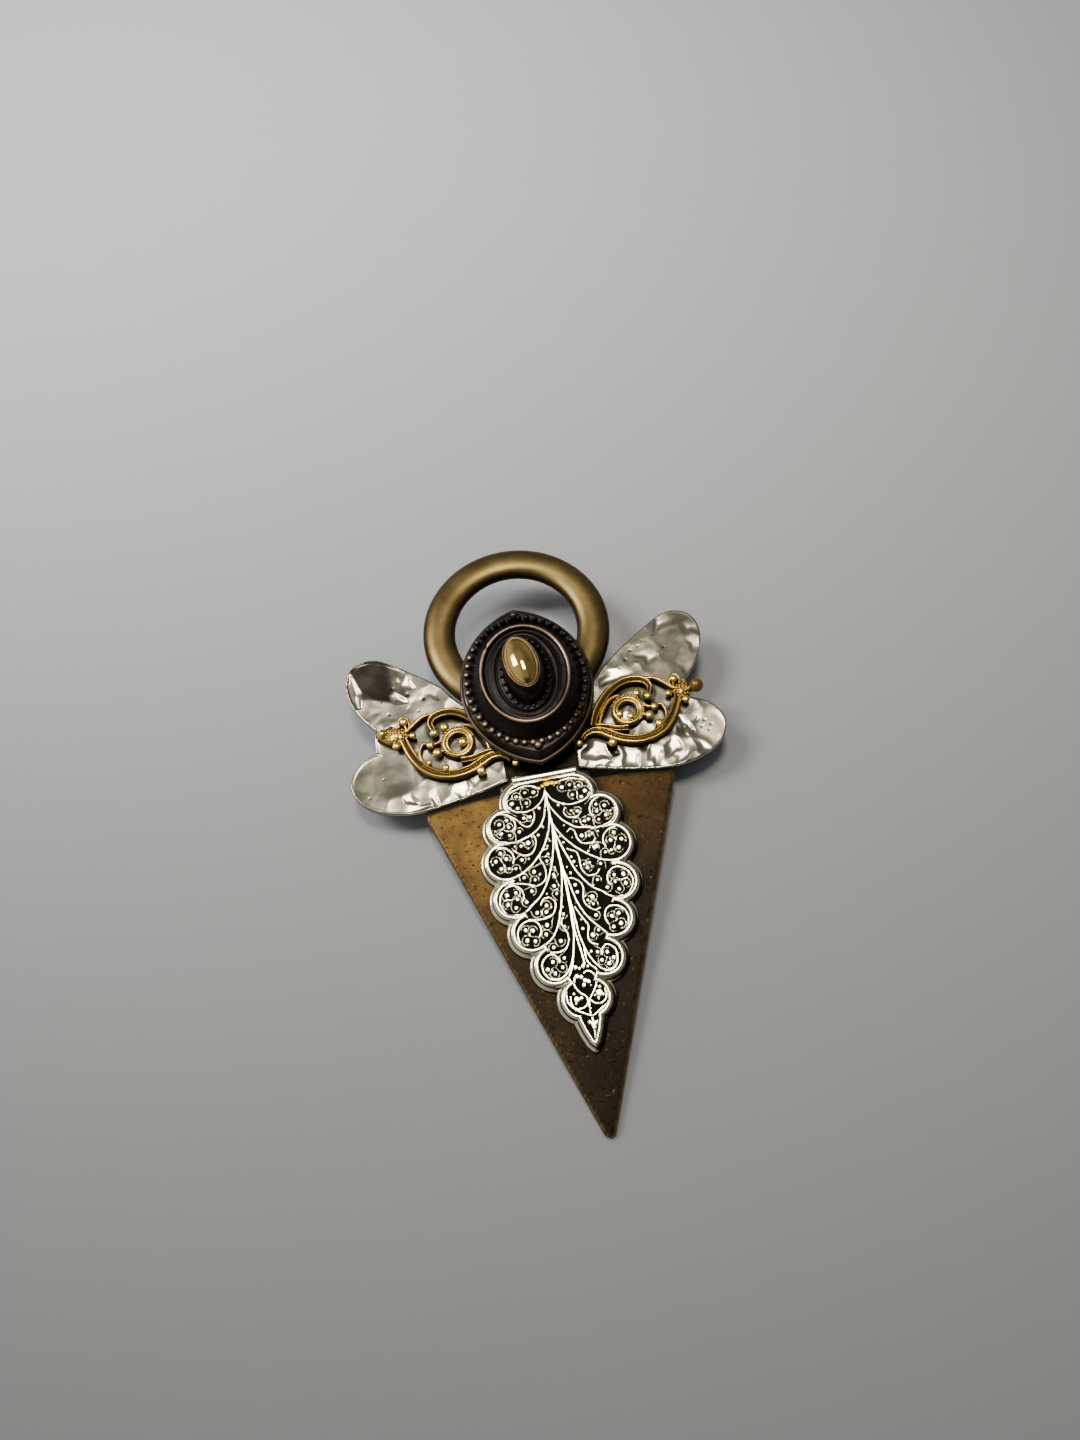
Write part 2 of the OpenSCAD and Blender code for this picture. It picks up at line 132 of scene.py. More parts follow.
def smooth(p, n):
    """Catmull-Rom curve through p, with n steps from point to point."""
    p = np.asarray(p, float)
    out = []
    for i in range(len(p) - 1):
        a, b, c, d = p[max(i - 1, 0)], p[i], p[i + 1], p[min(i + 2, len(p) - 1)]
        for t in np.arange(n) / n:
            out.append(0.5 * (2 * b + (c - a) * t + (2 * a - 5 * b + 4 * c - d) * t * t
                              + (3 * b - a - 3 * c + d) * t ** 3))
    out.append(p[-1])
    return np.array(out)


def resample(p, gap):
    s = np.r_[0, np.cumsum(np.linalg.norm(np.diff(p, axis=0), axis=1))]
    q = np.linspace(0, s[-1], max(2, int(round(s[-1] / gap)) + 1))
    return np.stack([np.interp(q, s, p[:, k]) for k in range(p.shape[1])], 1)


def side_of(p, closed=False):
    """Unit vectors across a path in the plane, to its left."""
    p = p[:, :2]
    d = np.roll(p, -1, 0) - np.roll(p, 1, 0) if closed else np.gradient(p, axis=0)
    d /= np.maximum(np.linalg.norm(d, axis=1), 1e-9)[:, None]
    return np.c_[-d[:, 1], d[:, 0]]


def lattice(n, m, closed=False, up=False):
    """Faces between n rings of m vertices each, and back to the first ring if closed."""
    f = []
    for i in range(n if closed else n - 1):
        j = (i + 1) % n
        for a in range(m):
            b = (a + 1) % m
            f.append((i * m + a, i * m + b, j * m + b, j * m + a) if up
                     else (i * m + a, j * m + a, j * m + b, i * m + b))
    return f


def stack(rings, apex=None):
    """Solid from rings that rise: flat below, and flat above or drawn to a point."""
    n, m = len(rings), len(rings[0])
    last = (n - 1) * m
    f, under = lattice(n, m, up=True), tuple(range(m - 1, -1, -1))
    if apex is None:
        return np.vstack(rings), f + [under, tuple(last + k for k in range(m))]
    f += [(last + k, last + (k + 1) % m, n * m) for k in range(m)]
    return np.vstack([*rings, [apex]]), f + [under]


def oval(half_x, half_y, z, n, at=(0, 0)):
    a = np.arange(n) * 2 * math.pi / n
    return np.c_[at[0] + half_x * np.cos(a), at[1] + half_y * np.sin(a), np.full(n, z)]


def sweep(path, profile, closed=False, scale=1.0):
    """Sweeps a profile of (sideways, up) points along a path of x, y, z."""
    profile = np.asarray(profile, float)
    n, m = len(path), len(profile)
    p = profile[None] * np.broadcast_to(scale, (n, 2))[:, None]
    v = np.zeros((n, m, 3))
    v[:, :, :2] = path[:, None, :2] + side_of(path, closed)[:, None] * p[..., :1]
    v[:, :, 2] = path[:, None, 2] + p[..., 1]
    f = lattice(n, m, closed)
    if not closed:
        f += [tuple(range(m)), tuple((n - 1) * m + a for a in range(m - 1, -1, -1))]
    return v.reshape(-1, 3), f


def ball(c, r, seg, rings, squash=1.0):
    v = [(c[0], c[1], c[2] + r * squash)]
    for a in np.arange(1, rings) * math.pi / rings:
        for b in np.arange(seg) * 2 * math.pi / seg:
            v.append((c[0] + r * math.sin(a) * math.cos(b), c[1] + r * math.sin(a) * math.sin(b),
                      c[2] + r * squash * math.cos(a)))
    v.append((c[0], c[1], c[2] - r * squash))
    last = len(v) - 1
    f = [(0, 1 + k, 1 + (k + 1) % seg) for k in range(seg)]
    f += [tuple(1 + i for i in q) for q in lattice(rings - 1, seg)]
    f += [(last, last - seg + (k + 1) % seg, last - seg + k) for k in range(seg)]
    return np.array(v), f


def step(a, b, x):
    t = np.clip((np.asarray(x, float) - a) / (b - a), 0, 1)
    return t * t * (3 - 2 * t)


def round_edge(inward, radius):
    """How far a rounded edge has fallen, from 0 inside to 1 at the border."""
    return 1 - np.sqrt(np.clip(1 - (1 - np.clip(inward / radius, 0, 1)) ** 2, 0, 1))


def hash_noise(x, y, size, seed):
    """Smooth value noise in the plane, 0 to 1."""
    x, y = x / size, y / size
    xi, yi = np.floor(x).astype(int), np.floor(y).astype(int)
    u, v = step(0, 1, x - xi), step(0, 1, y - yi)

    def h(i, j):
        n = np.sin(i * 127.1 + j * 311.7 + seed * 74.7) * 43758.5453
        return n - np.floor(n)

    a = h(xi, yi) * (1 - u) + h(xi + 1, yi) * u
    b = h(xi, yi + 1) * (1 - u) + h(xi + 1, yi + 1) * u
    return a * (1 - v) + b * v


def edge_distance(p, loop):
    """Signed distance to a closed outline, below 0 inside."""
    loop = np.asarray(loop, float)
    best = np.full(len(p), 1e9)
    inside = np.zeros(len(p), bool)
    for a, b in zip(loop, np.roll(loop, -1, 0)):
        ab = b - a
        q = p - a
        t = np.clip(q @ ab / max(ab @ ab, 1e-12), 0, 1)
        best = np.minimum(best, ((q - t[:, None] * ab) ** 2).sum(1))
        if a[1] != b[1]:
            up = (a[1] > p[:, 1]) != (b[1] > p[:, 1])
            inside ^= up & (p[:, 0] < (b[0] - a[0]) * (p[:, 1] - a[1]) / (b[1] - a[1]) + a[0])
    d = np.sqrt(best)
    return np.where(inside, -d, d)


def sheet(dist, box, cell, bottom, top):
    """Closed sheet inside dist < 0: top(x, y, d) gives height and tones, bottom is its lower level."""
    x0, y0, x1, y1 = box
    nx, ny = int((x1 - x0) / cell) + 2, int((y1 - y0) / cell) + 2
    gx, gy = np.meshgrid(x0 + np.arange(nx) * cell, y0 + np.arange(ny) * cell)
    p = np.c_[gx.ravel(), gy.ravel()]
    e = cell * 0.25

    def outward(q):
        g = np.c_[dist(q + [e, 0]) - dist(q - [e, 0]), dist(q + [0, e]) - dist(q - [0, e])] / (2 * e)
        return g / np.maximum(np.linalg.norm(g, axis=1), 1e-6)[:, None]

    # vertices close outside move on to the outline
    d = dist(p)
    out = (d > 0) & (d < cell * 0.72)
    p[out] -= outward(p[out]) * d[out, None]
    d[out] = 0
    keep = (d <= 0).reshape(ny, nx)
    iy, ix = np.nonzero(keep[:-1, :-1] & keep[:-1, 1:] & keep[1:, 1:] & keep[1:, :-1])
    a = iy * nx + ix
    used, quads = np.unique(np.c_[a, a + 1, a + nx + 1, a + nx], return_inverse=True)
    quads = quads.reshape(-1, 4)
    p, d = p[used], d[used]
    ways = [way for i in range(4) for way in zip(quads[:, i].tolist(), quads[:, (i + 1) % 4].tolist())]
    known = set(ways)
    edges = [(u, v) for u, v in ways if (v, u) not in known]
    # the border settles on the outline
    border = np.unique(edges)
    for _ in range(2):
        q = p[border]
        p[border] = q - outward(q) * np.clip(dist(q), -cell, cell)[:, None]
    d[border] = 0
    z, tones = top(p[:, 0], p[:, 1], d)
    rim = list(dict.fromkeys(w for way in edges for w in way))
    low = {w: len(p) + i for i, w in enumerate(rim)}
    faces = [tuple(q) for q in quads.tolist()] + [(v, u, low[u], low[v]) for u, v in edges]
    # underside: one face inside each closed loop of border edges
    follow = {}
    for u, v in edges:
        follow.setdefault(u, []).append(v)

    def after(w):
        found = follow[w].pop()
        if not follow[w]:
            del follow[w]
        return found

    while follow:
        first = next(iter(follow))
        loop, at = [first], after(first)
        while at != first and at in follow:
            loop.append(at)
            at = after(at)
        if len(loop) > 2:
            faces.append(tuple(low[w] for w in reversed(loop)))
    verts = np.vstack([np.c_[p, z], np.c_[p[rim], np.full(len(rim), bottom)]])
    return verts, faces, {k: np.r_[t, np.full(len(rim), t.min())] for k, t in tones.items()}


# Materials
class Graph:
    """Adds shader nodes to a tree. An input is another node's output, a number or a colour."""

    def __init__(self, tree):
        self.tree = tree

    def put(self, socket, value):
        if isinstance(value, bpy.types.NodeSocket):
            self.tree.links.new(value, socket)
        elif socket.type == "RGBA":
            socket.default_value = (*value, 1)
        else:
            socket.default_value = value

    def node(self, kind, inputs=None, **settings):
        n = self.tree.nodes.new("ShaderNode" + kind)
        for key, value in settings.items():
            setattr(n, key, value)
        for key, value in (inputs or {}).items():
            self.put(n.inputs[key], value)
        return n

    def math(self, op, a, b, clamp=False):
        return self.node("Math", {0: a, 1: b}, operation=op, use_clamp=clamp).outputs[0]

    def times(self, a, b):
        return self.math("MULTIPLY", a, b)


class Material(Graph):
    """A material on object coordinates. Sizes and depths are in mm."""

    def __init__(self, name):
        self.mat = bpy.data.materials.new(name)
        self.mat.use_nodes = True
        super().__init__(self.mat.node_tree)
        self.tree.nodes.clear()
        self.bsdf = self.node("BsdfPrincipled")
        self.tree.links.new(self.bsdf.outputs[0], self.node("OutputMaterial").inputs[0])
        self.coord = self.node("TexCoord").outputs["Object"]

    def set(self, **values):
        for key, value in values.items():
            self.put(self.bsdf.inputs[key.replace("_", " ")], value)
        return self.mat

    def attr(self, name):
        return self.node("Attribute", attribute_name=name).outputs["Fac"]

    def noise(self, size, detail, rough=0.55, distort=0.0, offset=0.0):
        """Noise whose features are about size across. An offset, in metres, moves it."""
        at = self.coord
        if offset:
            shift = (offset, offset * 0.7, offset * 1.3)
            at = self.node("VectorMath", {0: at, 1: shift}, operation="ADD").outputs[0]
        return self.node("TexNoise", {"Vector": at, "Scale": 1 / (size * MM), "Detail": detail,
                                      "Roughness": rough, "Distortion": distort}).outputs["Fac"]

    def stretch(self, size, across):
        """Fine scratches: noise drawn out along y."""
        scale = (1 / (size * MM), 1 / (across * MM), 1 / (size * MM))
        at = self.node("Mapping", {"Vector": self.coord, "Scale": scale, "Rotation": (0, 0, 0.5)})
        return self.node("TexNoise", {"Vector": at.outputs[0], "Scale": 1, "Detail": 3}).outputs["Fac"]

    def ramp(self, value, *stops):
        n = self.node("ValToRGB", {0: value})
        e = n.color_ramp.elements
        while len(e) < len(stops):
            e.new(0.5)
        for el, (pos, col) in zip(e, stops):
            el.position = pos
            el.color = (col, col, col, 1) if isinstance(col, float) else (*col, 1)
        return n.outputs["Color"]

    def rise(self, value, low, high):
        return self.ramp(value, (low, 0.0), (high, 1.0))

    def fall(self, value, low, high):
        return self.ramp(value, (low, 1.0), (high, 0.0))

    def mix(self, f, a, b):
        return self.node("Mix", {0: f, 6: a, 7: b}, data_type="RGBA").outputs[2]

    def fmix(self, f, a, b):
        return self.node("Mix", {0: f, 2: a, 3: b}).outputs[0]

    def stain(self, base, mask, amount, color):
        return self.mix(self.times(mask, amount), base, color)

    def wear_and_painted_light(self, cloud, amount):
        """The tone attribute, made uneven by a cloud."""
        uneven = self.times(self.math("SUBTRACT", cloud, 0.5), amount)
        return self.math("ADD", self.attr("tone"), uneven, clamp=True)

    def bump(self, height, depth, strength, under=None):
        n = self.node("Bump", {"Strength": strength, "Distance": depth * MM, "Height": height})
        if under:
            self.put(n.inputs["Normal"], under)
        return n.outputs["Normal"]


def silver_relief():
    """Polished silver over blackened recesses, with a trace of gold; its tone also darkens where shade is
    painted.
    """
    m = Material("silver_relief")
    cloud = m.noise(0.9, 5)
    wear_and_painted_light = m.rise(m.wear_and_painted_light(cloud, 0.22), 0.42, 0.72)
    silver = m.mix(m.noise(3.0, 3), (0.97, 0.91, 0.66), (0.89, 0.84, 0.59))
    silver = m.mix(m.attr("gold"), silver, (0.20, 0.135, 0.016))
    black = m.mix(m.noise(0.4, 4), (0.004, 0.0035, 0.003), (0.014, 0.011, 0.008))
    return m.set(Base_Color=m.mix(wear_and_painted_light, black, silver), Metallic=wear_and_painted_light, Specular_IOR_Level=0.08,
                 Roughness=m.fmix(wear_and_painted_light, 0.75, m.fmix(cloud, 0.10, 0.16)),
                 Normal=m.bump(m.noise(0.5, 3), 0.0025, 0.6))


def silver_hammered():
    m = Material("silver_hammered")
    cloud = m.noise(2.4, 5, offset=0.02)
    base = m.mix(cloud, (0.54, 0.495, 0.365), (0.67, 0.615, 0.475))
    base = m.stain(base, m.fall(m.noise(0.5, 2, offset=0.05), 0.20, 0.28), 0.8, (0.08, 0.07, 0.055))
    # the tone attribute carries painted dark reflections, painted shade under the openwork and on the
    # sheet's sides, and dark pits
    base = m.mix(m.fall(m.attr("tone"), 0.12, 0.97), base, (0.021, 0.0195, 0.0135))
    return m.set(Base_Color=base, Metallic=0.95, Roughness=m.fmix(m.rise(cloud, 0.35, 0.7), 0.16, 0.28),
                 Normal=m.bump(m.stretch(0.12, 1.2), 0.0012, 0.5, m.bump(m.noise(0.5, 4), 0.004, 0.5)))


def gold_wire():
    m = Material("gold_wire")
    cloud = m.noise(1.6, 4)
    wear_and_painted_light = m.rise(m.wear_and_painted_light(cloud, 0.35), 0.25, 0.78)
    gold = m.mix(m.noise(2.2, 3, offset=0.03), (0.60, 0.345, 0.070), (0.37, 0.20, 0.043))
    # painted glints near the tops; the dark below is patina and painted shade on the lower sides
    gold = m.mix(m.attr("painted_glint"), gold, (1.0, 0.74, 0.20))
    dark = m.mix(cloud, (0.009, 0.005, 0.002), (0.050, 0.026, 0.008))
    return m.set(Base_Color=m.mix(wear_and_painted_light, dark, gold), Metallic=m.fmix(wear_and_painted_light, 0.5, 0.97),
                 Roughness=m.fmix(wear_and_painted_light, 0.5, m.fmix(cloud, 0.17, 0.28)),
                 Normal=m.bump(m.noise(0.3, 3), 0.003, 0.5))


def antique_brass():
    m = Material("antique_brass")
    cloud = m.noise(3.2, 6, 0.6)
    base = m.mix(m.rise(cloud, 0.3, 0.7), (0.118, 0.080, 0.028), (0.20, 0.139, 0.052))
    base = m.stain(base, m.fall(m.noise(0.32, 3, offset=0.07), 0.26, 0.34), 0.6, (0.05, 0.028, 0.010))
    # the tone attribute darkens it where shade is painted
    base = m.mix(m.fall(m.attr("tone"), 0.1, 0.75), base, (0.035, 0.021, 0.008))
    return m.set(Base_Color=base, Metallic=0.92, Roughness=m.fmix(cloud, 0.30, 0.42),
                 Normal=m.bump(m.stretch(0.1, 1.5), 0.003, 0.6, m.bump(m.noise(0.35, 5), 0.006, 0.5)))


def robe_patina():
    """Brown patina: painted light on the left, painted shade towards the tip, with pits, pale specks and a
    rubbed border.
    """
    m = Material("robe_patina")
    grain = m.noise(0.45, 6, 0.7)
    pits = m.fall(m.noise(0.62, 3, 0.5, offset=0.04), 0.29, 0.36)
    cloud = m.rise(m.noise(5.0, 6, 0.62, 0.4), 0.3, 0.72)
    base = m.mix(cloud, (0.028, 0.0125, 0.0028), (0.098, 0.049, 0.0105))
    base = m.stain(base, m.rise(grain, 0.35, 0.7), 0.35, (0.05, 0.022, 0.005))
    patches = m.ramp(m.noise(3.0, 5, 0.6, offset=0.08), (0.35, 0.10), (0.65, 0.75))
    # painted light on the left, then painted shade over it
    base = m.mix(m.times(m.attr("warm"), patches), base, (0.215, 0.121, 0.028))
    base = m.stain(base, m.attr("dusk"), 0.93, (0.0058, 0.0036, 0.0016))
    base = m.stain(base, m.rise(m.noise(0.45, 2, offset=0.09), 0.67, 0.76), 0.40, (0.30, 0.20, 0.08))
    base = m.stain(base, pits, 0.75, (0.020, 0.011, 0.004))
    rub = m.ramp(m.noise(1.1, 4, offset=0.06), (0.3, 0.25), (0.6, 0.9))
    base = m.mix(m.times(m.attr("edge"), rub), base, (0.27, 0.190, 0.085))
    uneven = m.bump(grain, 0.018, 0.6, m.bump(pits, -0.05, 0.8))
    return m.set(Base_Color=base, Metallic=0.72, Roughness=m.fmix(grain, 0.36, 0.54),
                 Specular_IOR_Level=0.3, Normal=m.bump(m.stretch(0.15, 2.5), 0.005, 0.5, uneven))


def dark_bronze():
    m = Material("dark_bronze")
    fine = m.noise(0.25, 5)
    # the tone attribute carries painted highlights and painted shade on beads, lumps and wire
    base = m.ramp(m.wear_and_painted_light(m.noise(1.6, 5), 0.3), (0.0, (0.004, 0.0032, 0.0028)),
                  (0.35, (0.019, 0.0145, 0.0115)), (0.62, (0.072, 0.051, 0.037)),
                  (0.85, (0.25, 0.17, 0.115)), (1.0, (0.52, 0.36, 0.24)))
    return m.set(Base_Color=base, Metallic=0.72, Roughness=m.fmix(fine, 0.24, 0.40),
                 Specular_IOR_Level=0.4, Normal=m.bump(fine, 0.012, 0.6))


def polished_gold():
    m = Material("polished_gold")
    base = m.mix(m.noise(1.8, 4), (0.78, 0.50, 0.13), (0.86, 0.62, 0.21))
    return m.set(Base_Color=base, Metallic=1.0, Roughness=m.fmix(m.noise(0.5, 4), 0.04, 0.09),
                 Normal=m.bump(m.noise(0.9, 2), 0.012, 0.3))


def plain_steel():
    m = Material("plain_steel")
    cloud = m.noise(1.2, 5)
    base = m.mix(cloud, (0.42, 0.40, 0.37), (0.60, 0.58, 0.54))
    base = m.stain(base, m.fall(m.noise(0.6, 3, offset=0.02), 0.25, 0.36), 0.6, (0.16, 0.13, 0.10))
    return m.set(Base_Color=base, Metallic=0.9, Roughness=m.fmix(cloud, 0.28, 0.45),
                 Normal=m.bump(m.stretch(0.08, 2.0), 0.006, 0.7))


# The robe's plate
def plate_outline():
    """Triangle that points down, with rounded corners and a slightly crowned top."""
    r = CORNER_RADIUS
    side = math.atan(PLATE_HALF / PLATE_LENGTH)
    s = (math.cos(side), -math.sin(side))
    cy = CORNER_Y - r
    cx = (PLATE_HALF * s[0] + CORNER_Y * s[1] - r - s[1] * cy) / s[0]
    a = np.linspace(-side, math.pi / 2, 9)
    right = np.c_[cx + r * np.cos(a), cy + r * np.sin(a)]
    u = 1 - np.arange(1, 32) / 16
    top = np.c_[cx * u, CORNER_Y + PLATE_CROWN * (1 - u * u)]
    a = np.linspace(math.pi + side, 2 * math.pi - side, 13)
    tip_y = CORNER_Y - PLATE_LENGTH + r / math.sin(side)
    tip = np.c_[TIP_X + r * np.cos(a), tip_y + r * np.sin(a)]
    return np.vstack([right, top, right[::-1] * [-1, 1], tip]) + [PLATE_X, 0]


def make_plate(mat):
    loop = plate_outline()
    neck = [(UPPER + s * NECK_HALF, y) for s, y in ((-1, 0), (1, 0), (1, NECK_TOP), (-1, NECK_TOP))]

    def dist(p):
        return np.minimum(edge_distance(p, loop), edge_distance(p, neck))

    def top(x, y, d):
        wander = 0.025 * (hash_noise(x, y, 6, 3) - 0.5)
        nick = 0.05 * step(0.62, 0.9, hash_noise(x, y, 0.8, 5)) * step(-0.6, -0.1, d)
        pit = 0.05 * step(0.8, 0.93, hash_noise(x, y, 0.33, 8)) * step(0.45, 0.7, hash_noise(x, y, 3, 9))
        z = wander - nick - pit - 0.22 * round_edge(-d, 0.32) - 0.02
        # painted shade: darker to the tip, on the right, and where the neck goes under the head
        dusk = step(-2, -22, y) * (0.78 + 0.22 * step(-6, 2, x)) + 0.5 * step(1, 12, x)
        dusk = dusk + step(-0.6, 1.6, y) * step(6.5, 5.0, np.abs(x - UPPER))
        # painted shadow along the leaf, more at its lower right
        away = leaf_distance(np.c_[x - LEAF - 0.45, y + 0.4]) - LEAF_APRON
        dusk = np.maximum(np.clip(dusk, 0, 1), 0.9 * step(0.6, -0.1, away))
        return z, {"edge": step(-0.42, -0.08, d), "dusk": dusk, "warm": step(3, -11, x) * step(-24, -6, y)}

    v, f, t = sheet(dist, (-16.4, -41.2, 16.6, 14.1), 0.24, -PLATE_THICK, top)
    # painted shade on the plate's sides and underside, with no rubbed border there
    under = step(-0.25, -0.7, v[:, 2])
    t["dusk"] = np.maximum(t["dusk"], under)
    t["edge"] = t["edge"] * (1 - under)
    build("robe_plate", v, f, mat, ["body_plate"], t)


# The leaf: the lobes of one half (x, y, radius), and the bud at the tip
LOBES = [
    (3.2, -0.8, 2.5), (5.85, -3.9, 2.4), (6.55, -8.05, 2.5), (6.3, -12.85, 2.45), (4.9, -17.1, 2.4),
    (2.95, -21.4, 2.35), (0.6, -25.7, 2.3),
]
FINIAL = [(1.45, -26.9), (1.35, -28.2), (0.95, -29.5), (0.45, -30.65), (0, -31.15)]
# its branches: where each one leaves the stem (left with x counted outwards, right in plain x),
# then the curl that both halves share
LEFT_STEMS = [
    [(0.3, 0.4), (0.36, -0.2), (0.75, -0.95), (1.4, -1.65), (2.3, -2.15)],
    [(0.3, -0.6), (0.5, -1.5), (0.8, -2.7), (1.15, -3.6), (1.85, -4.6), (2.9, -5.3)],
    [(0.26, -2.6), (0.42, -3.9), (0.88, -5.4), (1.6, -6.95), (2.4, -8.0), (3.3, -8.9)],
    [(0.17, -4.6), (0.33, -5.8), (0.55, -7.3), (1.1, -9.3), (1.75, -10.9), (2.4, -12.1), (3.2, -13.1)],
    [(0.12, -7.4), (0.06, -8.7), (0.14, -10.6), (0.5, -12.7), (1.0, -14.9), (1.7, -16.8), (2.6, -18.2)],
    [(-0.14, -13.0), (-0.08, -15.8), (0.0, -17.6), (0.35, -19.5), (0.75, -21.0), (1.3, -22.1)],
]
RIGHT_STEMS = [
    [(-0.3, 0.4), (-0.2, -0.2), (0.3, -1.15), (0.95, -1.75), (2.2, -2.3)],
    [(-0.26, -1.0), (-0.16, -1.8), (0.42, -3.05), (1.33, -4.33), (2.65, -5.35)],
    [(-0.24, -3.2), (-0.05, -4.6), (0.79, -6.2), (1.7, -7.4), (2.65, -8.35), (3.6, -9.1)],
    [(-0.15, -5.0), (0.07, -6.0), (0.46, -7.45), (1.0, -9.1), (1.62, -10.8), (2.45, -12.2),
     (3.3, -13.2)],
    [(0.0, -8.8), (0.12, -10.3), (0.48, -11.9), (0.76, -13.5), (1.2, -15.1), (1.9, -16.5), (2.8, -17.7)],
    [(0.12, -12.4), (0.2, -14.0), (0.38, -15.9), (0.47, -17.9), (0.8, -19.8), (1.28, -21.2),
     (1.9, -22.2)],
]
CURLS = [
    [(3.5, -2.25), (4.6, -1.9), (5.2, -1.1), (5.2, -0.3), (4.6, 0.55), (3.6, 0.85)],
    [(3.8, -5.6), (5.0, -5.9), (6.2, -5.7), (7.1, -5.3), (7.7, -4.4), (7.8, -3.5), (7.5, -2.6),
     (6.6, -2.0), (5.8, -2.1), (5.1, -2.5), (4.7, -3.3), (4.7, -4.0), (5.1, -4.4)],
    [(4.2, -9.55), (5.1, -10.0), (6.4, -10.3), (7.3, -10.1), (8.2, -9.5), (8.85, -8.6), (8.95, -7.4),
     (8.5, -6.6), (7.7, -6.2), (6.6, -6.3), (5.8, -6.9), (5.5, -7.7), (5.7, -8.4)],
    [(4.1, -13.8), (5.0, -14.5), (6.2, -14.8), (7.2, -14.6), (7.8, -13.9), (8.05, -13.0), (7.7, -11.9),
     (6.9, -11.3), (6.1, -11.2), (5.3, -11.8), (5.1, -12.6), (5.3, -13.2)],
    [(3.9, -19.0), (4.9, -19.2), (5.8, -19.0), (6.4, -18.3), (6.6, -17.3), (6.3, -16.4), (5.5, -15.8),
     (4.5, -15.8), (3.9, -16.4), (3.8, -17.2), (4.1, -17.8)],
    [(2.0, -22.8), (2.9, -23.1), (3.8, -22.8), (4.3, -22.1), (4.4, -21.1), (3.9, -20.4), (3.2, -20.1),
     (2.5, -20.5), (2.3, -21.2)],
]
STEM = [
    (-0.25, 0.8), (-0.29, -0.3), (-0.26, -3.2), (-0.15, -5.3), (-0.13, -7.7), (0.03, -10.1),
    (0.14, -13.0), (0.08, -15.8), (0.02, -17.6),
]
# curls between the lobes
FILLERS = [
    [(4.9, -2.6), (4.2, -3.3), (3.6, -4.05), (2.9, -4.2), (2.3, -3.5), (2.1, -2.7), (2.25, -2.1)],
    [(5.5, -6.7), (4.9, -7.3), (4.1, -7.75), (3.2, -7.6), (2.65, -6.8), (2.5, -6.0), (2.7, -5.4)],
    [(7.1, -11.0), (5.9, -11.0), (4.5, -11.3), (3.5, -11.7), (2.6, -11.5), (2.1, -10.9), (2.0, -9.8),
     (2.3, -8.8), (2.4, -8.1), (1.9, -7.5), (1.3, -7.4)],
    [(5.0, -15.6), (3.9, -15.8), (3.0, -15.8), (2.1, -15.5), (1.6, -14.6), (1.6, -13.9), (2.2, -13.4),
     (2.9, -13.5), (3.3, -14.1)],
    [(3.1, -19.9), (2.1, -20.0), (1.2, -19.6), (0.8, -18.8), (0.8, -18.0), (1.2, -17.2), (1.3, -16.6),
     (1.0, -16.1)],
]
# balls with a hook of wire round each: x, y, radius, and where the hook's stem comes from
HOOKED = [
    (4.6, -0.9, 0.36, 3.5, -0.55), (4.0, -1.6, 0.3, 3.5, -0.7), (3.95, -0.1, 0.29, 3.4, -0.5),
    (2.85, -1.15, 0.3, 3.4, -0.6), (1.75, 0.1, 0.36, 2.7, -0.5), (2.8, 0.25, 0.31, 3.3, -0.4),
    (6.6, -3.25, 0.34, 6.1, -3.9), (5.6, -2.9, 0.29, 6.1, -3.8), (5.5, -3.8, 0.3, 6.1, -3.9),
    (6.55, -4.5, 0.33, 6.1, -3.95), (5.55, -4.9, 0.27, 6.1, -4.1), (4.3, -4.65, 0.31, 4.9, -5.75),
    (7.2, -4.05, 0.2, 6.2, -3.9), (2.7, -3.0, 0.32, 2.15, -2.4), (3.5, -3.0, 0.28, 4.1, -3.4),
    (3.5, -6.25, 0.36, 2.9, -5.3), (4.4, -6.5, 0.28, 5.1, -7.0), (7.05, -6.9, 0.34, 7.05, -7.8),
    (6.45, -7.75, 0.33, 7.05, -7.9), (7.75, -7.85, 0.33, 7.1, -7.9), (7.25, -8.85, 0.34, 7.0, -8.0),
    (6.3, -9.0, 0.27, 6.9, -8.1), (4.6, -8.2, 0.31, 5.45, -8.0), (5.5, -9.15, 0.27, 4.8, -9.8),
    (4.7, -10.45, 0.27, 5.2, -11.1), (3.4, -9.95, 0.33, 2.4, -9.0), (3.45, -10.95, 0.26, 4.2, -11.4),
    (1.65, -8.9, 0.26, 2.2, -8.3), (1.15, -10.7, 0.25, 1.5, -10.0), (7.1, -12.2, 0.36, 6.6, -12.95),
    (6.0, -12.1, 0.29, 6.55, -12.9), (5.95, -12.95, 0.27, 6.6, -13.0), (7.15, -13.35, 0.34, 6.6, -13.0),
    (6.25, -13.9, 0.3, 6.6, -13.1), (4.9, -13.45, 0.3, 4.2, -13.85), (4.05, -12.25, 0.29, 4.9, -11.9),
    (2.65, -14.3, 0.31, 3.2, -13.8), (3.9, -14.95, 0.3, 4.6, -14.6), (2.8, -15.05, 0.31, 2.2, -15.4),
    (1.35, -12.1, 0.3, 1.0, -11.2), (1.2, -13.1, 0.25, 1.3, -13.9), (0.85, -15.7, 0.27, 1.0, -14.9),
    (1.0, -17.15, 0.27, 1.5, -16.4), (5.6, -16.75, 0.31, 5.2, -17.45), (4.75, -16.95, 0.33, 5.15, -17.5),
    (5.6, -18.0, 0.34, 5.2, -17.5), (4.7, -18.25, 0.32, 5.15, -17.6), (3.3, -17.7, 0.31, 2.5, -17.7),
    (3.0, -16.6, 0.33, 2.1, -15.8), (2.7, -19.35, 0.29, 3.1, -19.95), (1.75, -18.75, 0.32, 2.5, -18.1),
    (1.7, -20.8, 0.28, 1.2, -19.7), (3.1, -21.0, 0.31, 3.3, -21.65), (3.85, -21.75, 0.32, 3.3, -21.7),
    (3.05, -22.35, 0.33, 3.3, -21.75), (2.1, -21.8, 0.3, 2.9, -21.6),
]
